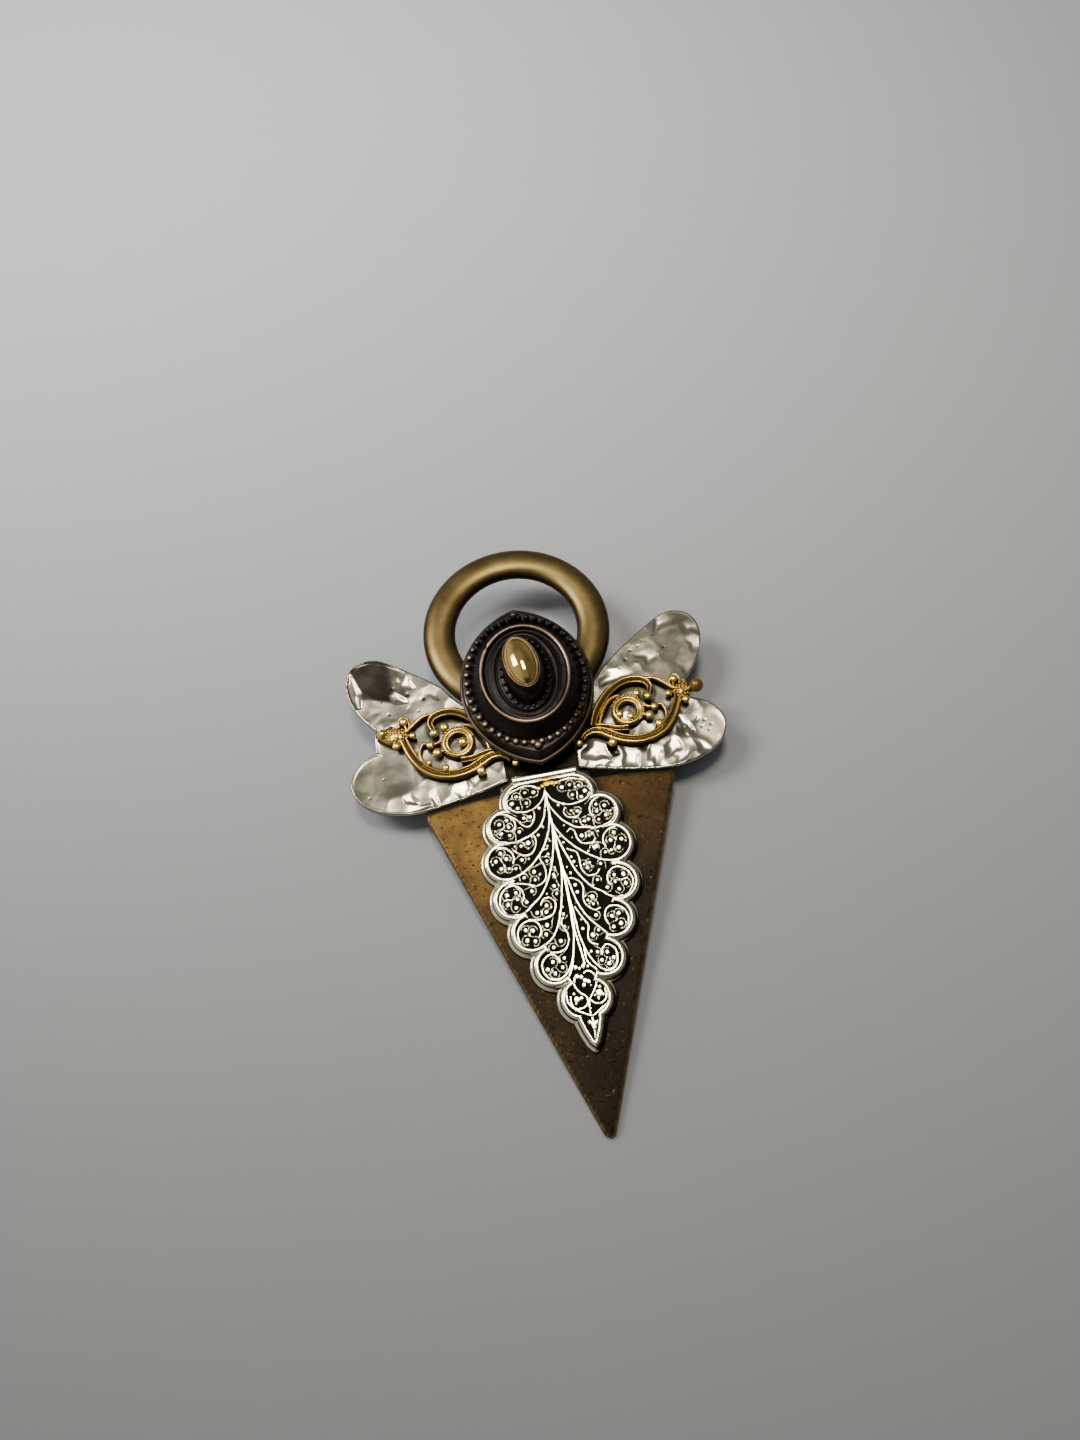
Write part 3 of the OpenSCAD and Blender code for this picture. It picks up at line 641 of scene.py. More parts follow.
# balls without a hook: x, y, radius
DOTS = [
    (1.4, -2.1, 0.27), (1.35, -4.6, 0.18), (0.95, -6.2, 0.17), (1.25, -7.1, 0.2), (0.8, -10.1, 0.16),
    (1.1, -11.0, 0.24), (0.75, -2.3, 0.15), (0.78, -8.3, 0.15), (5.15, -6.4, 0.2), (2.1, -5.5, 0.24),
    (1.45, -4.45, 0.22), (3.75, -8.25, 0.19), (5.95, -10.6, 0.2), (2.75, -10.4, 0.22),
    (1.35, -8.1, 0.24), (0.85, -9.85, 0.19), (0.8, -14.8, 0.19), (5.15, -15.2, 0.2), (3.45, -19.6, 0.19),
    (2.15, -14.6, 0.2), (0.85, -6.5, 0.17), (0.75, -5.2, 0.17), (3.45, -0.2, 0.24), (2.35, -12.9, 0.18),
    (6.9, -15.3, 0.22), (3.6, -6.95, 0.18), (0.55, -13.4, 0.17), (2.1, -9.2, 0.17), (8.2, -8.2, 0.18),
]
# the right half's inner curls and balls, in plain x
RIGHT_CURLS = [
    [(1.75, -2.6), (1.5, -3.25), (2.0, -3.95), (3.0, -4.05), (3.6, -3.5)],
    [(1.45, -5.75), (1.9, -5.45), (2.35, -5.85), (2.5, -6.85), (3.1, -7.55), (4.1, -7.65), (4.7, -7.2)],
    [(1.05, -7.85), (1.4, -8.1), (2.05, -8.45), (2.25, -9.35), (2.3, -10.7), (2.95, -11.6), (3.9, -11.6),
     (4.4, -11.1)],
    [(0.6, -11.5), (1.0, -11.6), (1.75, -12.15), (2.05, -13.0), (1.8, -14.25), (2.1, -15.2),
     (2.85, -15.85), (3.6, -15.7)],
    [(0.6, -15.0), (1.0, -15.95), (1.55, -17.0), (1.8, -17.6), (1.55, -18.5), (1.6, -19.4),
     (2.4, -19.95)],
]
RIGHT_HOOKED = [
    (2.45, -3.15, 0.28, 2.0, -2.6), (3.2, -3.35, 0.3, 2.9, -4.0), (3.8, -4.75, 0.3, 4.4, -5.6),
    (2.8, -4.65, 0.22, 3.5, -5.4), (3.1, -6.55, 0.33, 2.5, -6.3), (4.0, -6.7, 0.28, 4.6, -7.1),
    (4.4, -8.3, 0.33, 3.6, -8.6), (3.05, -10.65, 0.3, 2.3, -10.3), (2.7, -10.15, 0.24, 2.3, -9.6),
    (3.4, -10.05, 0.25, 3.9, -10.6), (3.9, -12.35, 0.26, 3.2, -12.7), (2.9, -14.25, 0.36, 2.0, -14.0),
    (2.3, -14.55, 0.24, 1.9, -14.2), (2.85, -15.1, 0.25, 3.4, -15.4), (2.9, -16.5, 0.28, 2.2, -16.6),
    (2.1, -18.75, 0.36, 1.7, -18.2), (2.85, -18.3, 0.26, 3.4, -18.7),
]
RIGHT_DOTS = [
    (0.97, -2.15, 0.24), (0.5, -6.15, 0.19), (0.73, -7.0, 0.23), (1.34, -8.95, 0.24), (1.55, -9.6, 0.26),
    (0.6, -10.1, 0.18), (0.9, -10.9, 0.24), (1.17, -12.45, 0.28), (1.25, -13.35, 0.28),
    (0.8, -14.6, 0.15), (1.1, -16.7, 0.18), (1.05, -17.8, 0.25), (1.5, -15.6, 0.17), (1.2, -4.9, 0.18),
    (3.5, -8.65, 0.2), (3.3, -12.9, 0.18), (1.5, -20.6, 0.24), (2.2, -13.6, 0.14), (1.9, -6.6, 0.15),
    (1.75, -10.2, 0.15),
]
# the tip below the last lobes, in plain x
TIP_LINES = [
    [(-0.35, -19.6), (-0.66, -20.85), (-1.03, -22.1), (-1.79, -23.4), (-2.2, -24.7), (-2.25, -25.7),
     (-1.85, -26.45), (-1.07, -27.1), (0.15, -27.75)],
    [(0.8, -19.8), (0.85, -21.6), (1.75, -22.75), (2.4, -23.9), (2.65, -24.95), (2.65, -25.9),
     (2.25, -26.65), (1.2, -27.3), (0.35, -27.8)],
    [(0.02, -17.6), (0.2, -18.9), (0.36, -20.3), (0.49, -21.9)],
    [(-0.95, -23.2), (-1.15, -24.1), (-0.65, -25.0), (-0.03, -25.55), (0.08, -26.3), (0.12, -27.5)],
    [(0.2, -22.9), (0.6, -22.7), (1.1, -22.95), (1.41, -23.5), (1.36, -24.4), (0.78, -25.3),
     (0.27, -26.0), (0.16, -26.6)],
    [(0.07, -26.1), (-0.24, -26.6), (-0.84, -26.8), (-1.5, -26.65), (-1.85, -26.1), (-1.8, -25.3)],
    [(0.38, -26.05), (0.85, -26.45), (1.5, -26.55), (2.0, -26.3), (2.3, -25.7), (2.25, -25.0)],
    [(0.2, -28.0), (0.2, -29.2), (0.12, -30.3)],
]
TIP_BALLS = [
    (-1.14, -25.7, 0.4), (-1.37, -25.05, 0.22), (-0.63, -25.65, 0.27), (-1.3, -26.15, 0.2),
    (1.52, -25.4, 0.46), (1.72, -24.75, 0.24), (1.93, -25.65, 0.24), (1.34, -25.95, 0.24),
    (0.97, -25.6, 0.2), (0.18, -23.75, 0.33), (-0.2, -23.3, 0.32), (0.57, -23.95, 0.3),
    (-0.05, -24.25, 0.3), (-0.68, -23.15, 0.34), (0.75, -24.4, 0.16), (-0.62, -22.1, 0.3),
    (-0.2, -22.3, 0.22), (0.25, -22.1, 0.3), (0.8, -22.2, 0.24), (2.75, -23.3, 0.2), (0.2, -26.95, 0.18),
    (-0.18, -28.45, 0.3), (0.66, -28.55, 0.3), (0.24, -28.75, 0.38), (0.22, -29.1, 0.28),
]
# florets at the top, under the strip
FLORETS = [
    (0.1, 0.95, 0.48), (0.7, 0.95, 0.4), (1.25, 0.85, 0.34), (-0.45, 0.75, 0.34), (-0.95, 0.5, 0.28),
]
TOP_LINES = [
    [(0.9, 0.45), (1.7, 0.9), (2.7, 1.05), (3.6, 0.95)],
    [(-0.9, 0.3), (-1.6, 0.85), (-2.6, 1.05), (-3.5, 0.95)],
]
# how far the midrib bows to the right at each height
AXIS_Y = [-32, -24, -15, -8, 0, 3]
AXIS_X = [0.3, 0.4, 0.45, 0.4, 0.1, 0.0]


def to_right(p):
    """The right half mirrors the left one about the midrib."""
    p = np.array(p, float)
    shift = 2 * np.interp(p[:, 1], AXIS_Y, AXIS_X) * np.clip(1 - p[:, 0] / 4.5, 0, 1)
    return np.c_[p[:, 0] + shift, p[:, 1]]


def to_left(p):
    return np.array(p, float) * [-1, 1]


def hook(x, y, r, sx, sy):
    """Wire from the stem's start that winds round the ball."""
    turn = 1 if math.sin(x * 9 + y * 5) > 0 else -1
    a = math.atan2(sy - y, sx - x) + turn * np.radians(np.linspace(28, 235, 8))
    rad = np.linspace(r + 0.3, r + 0.2, 8)
    return smooth(np.vstack([[(sx, sy)], np.c_[x + rad * np.cos(a), y + rad * np.sin(a)]]), 3)


class Relief:
    """Height field of the leaf's raised work, painted on a fine grid."""

    def __init__(self, cell):
        self.cell = cell
        self.low = np.array([-9.8, -33.0])
        self.size = (np.array([19.6, 36]) / cell).astype(int) + 2
        self.x, self.y = (low + np.arange(n) * cell for low, n in zip(self.low, self.size))
        self.h = np.zeros((len(self.y), len(self.x)))

    def paint(self, p, reach, height):
        """Raises the field to height(x, y) within reach of the points p."""
        i0, j0 = np.maximum(((p.min(0) - reach - self.low) / self.cell).astype(int), 0)
        i1, j1 = np.minimum(((p.max(0) + reach - self.low) / self.cell).astype(int) + 2, self.size)
        window = self.h[j0:j1, i0:i1]
        window[:] = np.maximum(window, height(*np.meshgrid(self.x[i0:i1], self.y[j0:j1])))

    def wire(self, q, w):
        for k in range(0, len(q) - 1, 6):
            part = q[k:k + 7]

            def height(x, y):
                away = np.full(x.shape, 9.0)
                for a, b in zip(part[:-1], part[1:]):
                    ab = b - a
                    t = np.clip(((x - a[0]) * ab[0] + (y - a[1]) * ab[1]) / max(ab @ ab, 1e-9), 0, 1)
                    away = np.minimum(away, np.hypot(x - a[0] - t * ab[0], y - a[1] - t * ab[1]))
                return step(w + 0.03, w - 0.04, away) - 0.02 * (away / w) ** 2

            self.paint(part, w + 0.15, height)

    def dot(self, cx, cy, r, peak=1.08):
        def height(x, y):
            away = np.hypot(x - cx, y - cy)
            return peak * (step(r + 0.03, r - 0.05, away) - 0.03 * (away / r) ** 2)

        self.paint(np.array([[cx, cy]]), r + 0.05, height)

    def at(self, x, y):
        u = np.clip((x - self.low[0]) / self.cell, 0, self.size[0] - 1.001)
        v = np.clip((y - self.low[1]) / self.cell, 0, self.size[1] - 1.001)
        i, j = u.astype(int), v.astype(int)
        u, v = u - i, v - j
        below, above = (self.h[k, i] * (1 - u) + self.h[k, i + 1] * u for k in (j, j + 1))
        return below * (1 - v) + above * v


def draw_leaf():
    r = Relief(0.034)
    branch = 0.128

    def hooked(side, table):
        for x, y, rad, sx, sy in table:
            r.dot(*side([(x, y)])[0], rad * 0.86)
            r.wire(side(hook(x, y, rad, sx, sy)), 0.082)

    def outer(table):
        """Rows that both halves share."""
        return [q for q in table if not (q[0] < 4.2 and -20.2 < q[1] < -2.3)]

    for side, stems in ((to_left, map(to_left, LEFT_STEMS)), (to_right, RIGHT_STEMS)):
        for stem, curl in zip(stems, CURLS):
            r.wire(smooth(np.vstack([stem, side(curl)]), 5), branch)
    for line in [to_left(line) for line in FILLERS] + RIGHT_CURLS:
        r.wire(smooth(line, 5), branch * 0.9)
    hooked(to_left, HOOKED)
    hooked(to_right, outer(HOOKED))
    hooked(np.array, RIGHT_HOOKED)
    for x, y, rad in [(-x, y, rad) for x, y, rad in DOTS] + RIGHT_DOTS:
        r.dot(x, y, rad * 0.9)
    for x, y, rad in outer(DOTS):
        r.dot(*to_right([(x, y)])[0], rad * 0.9)
    # the midrib is wider below
    stem = smooth(STEM, 4)
    r.wire(stem[:14], 0.15)
    r.wire(stem[13:], 0.19)
    for line in TIP_LINES:
        r.wire(smooth(line, 5), 0.135)
    for x, y, rad in TIP_BALLS:
        r.dot(x, y, rad * 0.92)
    for x, y, rad in FLORETS:
        r.dot(x, y, rad, 1.15)
    for line in TOP_LINES:
        r.wire(smooth(line, 6), 0.15)
    return r


def leaf_distance(p):
    """Signed distance to the crest's scalloped outline, below 0 inside."""
    d = np.full(len(p), 1e9)
    for x, y, r in LOBES:
        for s in (1, -1):
            d = np.minimum(d, np.hypot(p[:, 0] - s * x, p[:, 1] - y) - r)
    core = [(3.95, 0), (3.95, 1.75), (-3.95, 1.75), (-3.95, 0)]
    core += [(-x, y) for x, y, r in LOBES] + [(x, y) for x, y, r in LOBES[::-1]]
    bud = FINIAL + [(-x, y) for x, y in FINIAL[-2::-1]]
    return np.minimum.reduce([d, edge_distance(p, core), edge_distance(p, bud)])


def make_leaf(mat):
    relief = draw_leaf()
    crest, recess, apron_z, rim = 1.3, 0.42, 0.6, 0.44

    def dist(p):
        return leaf_distance(p) - LEAF_APRON

    def top(x, y, d):
        q = np.c_[x, y]
        s = leaf_distance(q)
        ripple = 0.02 * (hash_noise(x, y, 0.9, 4) - 0.5)
        # a rounded lip round the outside, then a wall up to the plain rim
        lip = apron_z - 0.4 * round_edge(LEAF_APRON - s, 0.3)
        wall = step(0.36, -0.02, s)
        rim_z = crest - 0.05 * np.clip((s + 0.25) / 0.25, -1, 1) ** 2
        inside = step(-rim + 0.05, -rim - 0.07, s)
        raised = relief.at(x, y)
        work = crest - recess * (1 - raised)
        z = lip * (1 - wall) + (rim_z * (1 - inside) + work * inside) * wall + ripple
        # black patina in the recesses; painted shade at the wall's foot and on the side away from the light
        level = (1 - inside) + inside * np.clip(raised * 1.1 - 0.05, 0, 1)
        shaded = 0.42 * step(0.08, 0.26, s) * step(0.46, 0.32, s) + 0.5 * step(0.5, 0.64, s)
        lean = 4 * (leaf_distance(q + [0.1, -0.075]) - leaf_distance(q - [0.1, -0.075]))
        tone = level * (1 - shaded) * (1 - 0.62 * np.clip(lean, 0, 1) * step(0.06, 0.3, s))
        # traces of gold on the top floret, and below it on both sides
        gold = step(1.5, 0.7, np.hypot((x - 0.2) / 1.35, y - 0.85))
        tint = 0.85 * step(1.9, 0.5, np.hypot((x + 2.3) / 0.9, (y + 1.1) / 1.5))
        tint = tint + 0.75 * step(1.1, 0.3, np.hypot((x - 2.1) / 1.3, y + 2.9))
        gold = gold + tint * step(0.25, 0.55, hash_noise(x, y, 0.8, 6))
        return z, {"tone": np.clip(tone, 0, 1), "gold": np.clip(gold, 0, 1)}

    v, f, t = sheet(dist, (-10.0, -32.4, 10.0, 3.1), 0.069, CLEAR, top)
    # painted shade on the leaf's low edge, where it meets the plate
    t["tone"] = t["tone"] * (0.1 + 0.9 * step(0.08, 0.36, v[:, 2]))
    v[:, 0] += LEAF
    build("silver_leaf", v, f, mat, ["leaf"], t, flat=True)
    # the straight strip over the leaf's top
    half = [(0.5, CLEAR), (0.5, 1.22), (0.44, 1.36), (0.3, 1.43)]
    profile = [(-a, b) for a, b in half] + [(0, 1.46)] + half[::-1]
    n = 40
    path = np.c_[np.linspace(-4.1, 4.1, n) + LEAF, np.full(n, 2.1), np.zeros(n)]
    v, f = sweep(path, profile)
    # painted shade on the strip's sides
    tones = {"tone": np.where(v[:, 2] > 1.2, 1.0, 0.7), "gold": np.zeros(len(v))}
    build("leaf_strip", v, f, mat, [], tones)


# The openwork's lines, about the middle of its spiral ring
LOWER_BAND = [
    (-6.36, -2.8), (-5.87, -2.28), (-4.9, -1.95), (-3.8, -2.15), (-2.65, -2.9), (-1.3, -3.65),
    (0.4, -4.1), (1.95, -4.05), (3.3, -3.65), (4.5, -2.85), (5.5, -1.65), (6.2, -0.4), (6.85, 1.05),
]
UPPER_BAND = [
    (-4.75, -1.2), (-4.1, 0.4), (-3.15, 1.75), (-2.0, 2.95), (-0.6, 3.85), (0.8, 4.25), (2.2, 4.1),
    (3.1, 3.6), (3.45, 2.8), (3.05, 1.8),
]
INNER_BAND = [(-3.85, -1.15), (-3.3, 0.25), (-2.6, 1.3), (-1.8, 2.0), (-0.7, 2.3)]
BELLY_BAND = [(-4.4, -1.4), (-3.15, -1.65), (-1.75, -2.15), (-0.3, -2.35)]
CROWN_WIRE = [(3.05, 4.0), (4.2, 3.8), (5.1, 3.15), (5.75, 2.5), (6.4, 1.95), (7.4, 1.8)]
CURL_WIRE = [(3.5, 0.0), (4.3, 0.05), (4.65, -0.6), (4.7, -1.45), (4.3, -2.25), (3.6, -2.45)]
EYE_WIRE = [(6.0, 2.3), (6.0, 2.9), (6.4, 3.75), (7.1, 3.7), (7.35, 3.1), (7.2, 2.4)]
LINKS = [
    ((1.2, 1.5), (1.6, 2.05)), ((1.9, 0.3), (3.4, -0.2)), ((1.6, -0.9), (2.55, -1.25)),
    ((5.55, 1.25), (6.8, 1.5)), ((6.3, 2.0), (6.65, 3.1)), ((-2.7, -2.9), (-2.75, -4.0)),
]
# balls: x, y, radius
BALLS = [
    (1.6, 2.05, 0.54), (2.9, 1.4, 0.5), (3.4, -0.2, 0.48), (2.55, -1.25, 0.55), (-2.75, -4.0, 0.55),
    (-6.9, -3.3, 0.42), (5.55, 1.25, 0.42), (6.65, 3.15, 0.48), (7.55, 0.0, 0.48),
]
RIGHT_BALLS = [(-1.1, -0.4, 0.48), (0.2, -0.95, 0.53), (3.55, -2.6, 0.55)]
LEFT_BALLS = [(-0.6, -0.05, 0.56), (1.5, -3.3, 0.4), (3.55, -2.5, 0.3)]
# the knob (x, y, radius) and the granulated hub that carries it
KNOB = (9.25, 1.65, 0.9)
HUB = (7.35, 1.5)
# the middle of the left one's grained lozenge
LOZENGE = (8.3, 1.5)
# size, turn and place of each filigree on the upper frame, for the left (-1) and the right side (1)
FILIGREE_PLACE = {1: (1, 0, (12.05, 8.5)), -1: (1.035, math.radians(-6.7), (-9.85, 8.35))}
SIDES = {-1: "left", 1: "right"}

# The wings: outlines of the upper and the lower lobe, x outwards, about the upper frame
UPPER_EDGE = [
    (7.0, 12.9), (10.4, 15.8), (13.0, 17.9), (16.1, 20.0), (18.9, 21.7), (20.8, 22.1), (22.6, 21.5),
    (23.6, 20.1), (23.8, 18.2), (23.2, 15.9), (22.0, 13.8), (20.4, 11.9),
]
LOWER_EDGE = [
    (20.4, 9.2), (21.9, 8.6), (23.2, 7.5), (23.95, 6.2), (24.1, 5.1), (23.6, 3.6), (22.5, 2.3),
    (20.5, 1.15), (17.8, 0.45), (15.0, 0.4), (11.5, 0.9), (7.6, 1.7), (4.6, 2.5),
]
PIVOT = np.array([7.0, 8.0])
ROOT = (4.6, 8.0)
MIDDLE = [ROOT, (7.0, 12.9), (13, 16), (20.4, 11.9), (20.4, 9.2), (16, 4), (7, 4)]
# listed hammer marks, x outwards:
# x, y, radius, how tall, turn in degrees, slope outwards, slope up, level, darkness (a painted dark
# reflection)
BRIGHT = (0.09, 0.15)
LEFT_FACETS = [
    (20.8, 19.9, 2.0, 1.2, 14, 0.11, -0.07, -0.26, 0.84),
    (22.9, 18.9, 0.8, 1.7, -10, 0.06, 0.02, -0.34, 0.42),
    (17.7, 18.4, 0.55, 2.3, -22, *BRIGHT, -0.12, 0.0), (16.8, 20.3, 0.6, 1.2, -10, *BRIGHT, -0.1, 0.0),
    (15.6, 19.1, 0.5, 1.6, -25, *BRIGHT, -0.09, 0.0), (21.6, 15.3, 1.1, 0.8, 0, 0.05, 0.09, -0.05, 0.1),
    (14.3, 15.0, 1.2, 0.8, 0, -0.02, -0.04, -0.04, 0.25),
    (18.9, 14.6, 1.1, 0.8, 0, 0.02, 0.05, -0.04, 0.15),
    (12.6, 17.0, 1.0, 0.8, 20, 0.04, 0.06, -0.04, 0.1), (21.9, 5.2, 2.5, 1.4, 8, 0.03, -0.03, -0.2, 0.5),
    (19.6, 7.5, 0.8, 1.0, 0, *BRIGHT, -0.08, 0.05), (18.7, 4.6, 0.5, 2.6, 12, 0.06, 0.02, -0.08, 0.5),
    (17.2, 1.3, 1.3, 0.4, 3, *BRIGHT, -0.08, 0.0), (16.9, 3.2, 0.6, 1.5, -10, *BRIGHT, -0.06, 0.05),
    (13.9, 2.6, 0.6, 1.5, -5, *BRIGHT, -0.06, 0.0), (15.6, 5.2, 0.9, 0.9, 0, 0.05, -0.05, -0.05, 0.2),
    (10.4, 2.6, 0.8, 1.0, 0, *BRIGHT, -0.05, 0.0), (8.2, 3.6, 0.8, 1.0, 0, 0.05, 0.09, -0.05, 0.0),
    (12.3, 3.9, 0.8, 1.1, 0, 0.03, -0.06, -0.03, 0.2),
]
RIGHT_FACETS = [
    (22.8, 20.0, 1.0, 0.9, 30, 0.06, 0.11, -0.06, 0.12),
    (22.9, 17.1, 0.75, 1.3, 5, 0.05, 0.1, -0.08, 0.1),
    (21.2, 14.3, 1.2, 0.9, 20, 0.02, 0.05, -0.06, 0.25),
    (19.7, 21.4, 1.2, 0.7, 30, 0.05, 0.11, -0.05, 0.15),
    (16.5, 16.7, 0.9, 0.9, 0, 0.06, 0.11, -0.05, 0.1),
    (19.4, 18.0, 1.5, 1.0, 20, -0.01, -0.03, -0.04, 0.42),
    (12.6, 14.8, 1.5, 0.5, 14, *BRIGHT, -0.04, 0.0),
    (14.4, 17.2, 1.3, 0.8, 35, -0.01, 0.02, -0.03, 0.38),
    (21.9, 4.8, 1.6, 1.2, 0, 0.03, 0.02, -0.1, 0.2), (19.3, 6.3, 0.5, 1.9, 20, *BRIGHT, -0.1, 0.0),
    (20.2, 5.4, 0.5, 1.3, 0, -0.1, -0.1, -0.08, 0.45),
    (21.2, 2.6, 1.0, 0.8, 30, 0.08, 0.11, -0.06, 0.05), (7.3, 4.2, 1.0, 0.85, 0, *BRIGHT, -0.12, 0.0),
    (6.2, 2.6, 0.8, 0.8, 0, *BRIGHT, -0.08, 0.0), (8.8, 3.5, 0.5, 1.7, -10, -0.14, -0.12, -0.1, 0.85),
    (9.9, 2.0, 1.3, 0.45, 4, *BRIGHT, -0.08, 0.0), (11.3, 3.3, 0.7, 1.5, -8, *BRIGHT, -0.12, 0.0),
    (12.8, 3.2, 0.5, 1.7, -8, -0.12, -0.1, -0.08, 0.75),
    (14.5, 3.0, 0.65, 1.7, -32, *BRIGHT, -0.12, 0.0),
    (15.8, 2.6, 0.42, 1.5, -10, -0.12, -0.1, -0.08, 0.75),
    (16.9, 3.8, 0.55, 1.9, -30, *BRIGHT, -0.12, 0.0), (17.6, 2.0, 1.0, 0.6, 10, 0.06, 0.1, -0.06, 0.05),
    (18.4, 4.4, 0.6, 1.5, 15, -0.12, -0.1, -0.06, 0.6), (14.7, 1.2, 1.6, 0.35, 3, *BRIGHT, -0.06, 0.0),
]
# pits: x, y, radius
LEFT_PITS = [
    (15.5, 16.6, 0.42), (13.5, 15.7, 0.4), (18.2, 14.3, 0.26), (14.3, 14.1, 0.2), (17.4, 18.1, 0.24),
    (17.0, 16.2, 0.18), (19.0, 16.3, 0.16), (21.9, 3.4, 0.18), (11.6, 15.2, 0.16), (19.9, 5.6, 0.16),
]
RIGHT_PITS = [
    (14.2, 17.3, 0.2), (13.3, 16.1, 0.24), (14.7, 15.6, 0.18), (15.3, 17.7, 0.16), (18.6, 16.9, 0.2),
    (21.4, 5.7, 0.2), (20.9, 4.9, 0.18), (22.1, 5.0, 0.18), (21.7, 4.3, 0.16), (12.4, 15.0, 0.16),
    (17.6, 19.0, 0.16), (19.7, 4.6, 0.2), (7.2, 4.0, 0.12), (16.0, 18.4, 0.14),
]


def lower_of(b, q, k):
    """Smooth minimum of b and q, and how much of it is q."""
    h = np.clip(0.5 + 0.5 * (b - q) / k, 0, 1)
    return b * (1 - h) + q * h - k * h * (1 - h), h


def wing_openwork_shade(side):
    """Painted shade under the openwork, and a painted shadow along its bands."""
    scale, angle, at = FILIGREE_PLACE[side]
    bands = []
    for line, half in ((LOWER_BAND, 0.63), (UPPER_BAND, 0.56), (BELLY_BAND, 0.42),
                       (CROWN_WIRE, 0.24), (INNER_BAND, 0.26)):
        q = resample(smooth(line, 8), 0.25) * scale * [side, 1]
        bands.append(np.c_[np.c_[turned(q[:, 0], q[:, 1], angle)] + at, np.full(len(q), half)])
    bands = np.vstack(bands)

    def openwork_shade(x, y):
        away = np.full(len(x), 9.0)
        for bx, by, half in bands:
            away = np.minimum(away, np.hypot(x - bx, (y - by) * np.where(y < by, 0.72, 1.0)) - half)
        u, w = turned(x - at[0], y - at[1], -angle)
        under = np.hypot(u / 6.3, w / 4.0)
        return np.clip(0.75 * step(0.55, 0.05, away) + 0.42 * step(1.05, 0.85, under), 0, 0.88)

    return openwork_shade


def make_wing(side, mat):
    left = side < 0
    swell = 0.08 if left else 0.03
    edge = np.array(UPPER_EDGE) - PIVOT
    lift = math.radians(2.6 if left else 0)
    upper = smooth(np.c_[turned(edge[:, 0], edge[:, 1], lift)] + PIVOT, 4)
    loops = [np.vstack([[PIVOT], upper]), np.vstack([[ROOT], smooth(LOWER_EDGE, 4)]), MIDDLE]
    # random hammer marks between the listed ones
    marks = np.random.default_rng(5 if left else 9)
    n = 170
    c = np.c_[marks.uniform(3, 25.5, n), marks.uniform(-1, 24.5, n)]
    size = marks.uniform(3.5, 8.0, n)
    level = marks.uniform(0, 0.07, n)
    lean = marks.normal(0, 0.035, (n, 2))
    if left:
        lean[c[:, 1] > 10] += (0.03, 0.055)
    facets, pits = (LEFT_FACETS, LEFT_PITS) if left else (RIGHT_FACETS, RIGHT_PITS)
    openwork_shade = wing_openwork_shade(side)

    def dist(p):
        p = p * [side, 1]
        d = np.minimum.reduce([edge_distance(p, loop) for loop in loops]) - swell
        return np.maximum(d, HALO_CLEAR - np.hypot(p[:, 0], p[:, 1] - HALO[1]))

    def top(x, y, d):
        x = x * side
        wx = x + 0.8 * (hash_noise(x, y, 2.4, 1) - 0.5)
        wy = y + 0.8 * (hash_noise(x, y, 2.4, 2) - 0.5)
        best = np.full(len(x), 0.4)
        for (cx, cy), s, base, (lx, ly) in zip(c, size, level, lean):
            m = (np.abs(wx - cx) < 4.5) & (np.abs(wy - cy) < 4.5)
            u, w = wx[m] - cx, wy[m] - cy
            best[m] = lower_of(best[m], (u ** 2 + w ** 2) / (4 * s) + base + lx * u + ly * w, 0.05)[0]
        # calm: how much of the marks is left, dull: how dark the face is between them
        if left:
            calm = 0.45 + 0.55 * np.maximum(step(14.5, 18, x), step(9, 7, y))
            dull = 0.22 - 0.12 * step(10, 13, y)
        else:
            calm = 0.35 + 0.65 * step(12.5, 9.5, y)
            dull = 0.25 + 0.17 * step(10, 13, y)
        best = 0.04 + (best - 0.04) * calm
        shade = dull + 0.22 * (hash_noise(x, y, 2.3, 5) - 0.5) + 0.1 * (hash_noise(x, y, 0.7, 6) - 0.5)
        for cx, cy, r, tall, angle, lx, ly, base, dark in facets:
            reach = 2.2 * r * max(tall, 1)
            m = (np.abs(x - cx) < reach) & (np.abs(y - cy) < reach)
            u, w = wx[m] - cx, wy[m] - cy
            eu, ew = turned(u, w, -math.radians(angle))
            ew = ew / tall
            ang = np.arctan2(ew, eu)
            uneven = 1 + 0.17 * np.sin(3 * ang + cx * 7) + 0.11 * np.sin(5 * ang + cy * 5)
            rr = np.hypot(eu, ew) / r * uneven
            q = base + 0.08 + lx * u + ly * w + 0.2 * np.clip(rr - 0.7, 0, 9) ** 2
            best[m], h = lower_of(best[m], q, 0.08)
            # a facet's darkness is a painted dark reflection
            shade[m] = shade[m] * (1 - h) + dark * h
        for cx, cy, r in pits:
            rr = np.hypot((x - cx) / 1.4, y - cy) / r
            best -= 0.03 * step(1.2, 0.2, rr)
            shade = np.maximum(shade, 0.95 * step(0.9, 0.4, rr))
        fade = step(0, -0.4, d)
        z = 0.84 + (np.clip(best, -0.45, 0.4) - 0.1) * 0.8 * (0.4 + 0.6 * fade) - 0.16 * round_edge(-d, 0.2)
        # painted shade under the openwork and along its bands
        shade = np.maximum(shade, openwork_shade(x * side, y))
        return np.clip(z, 0.3, WING_TOP - 0.015), {"tone": 1 - 0.9 * shade}

    x0, x1 = sorted((4.0 * side, 24.8 * side))
    v, f, t = sheet(dist, (x0, -0.2, x1, 23.8), 0.12, CLEAR, top)
    # painted shade on the sheet's sides
    t["tone"] = t["tone"] * (0.1 + 0.9 * step(0.1, 0.5, v[:, 2]))
    v[:, 0] += UPPER
    name = "wing_" + SIDES[side]
    build("hammered_" + name, v, f, mat, [name], t)


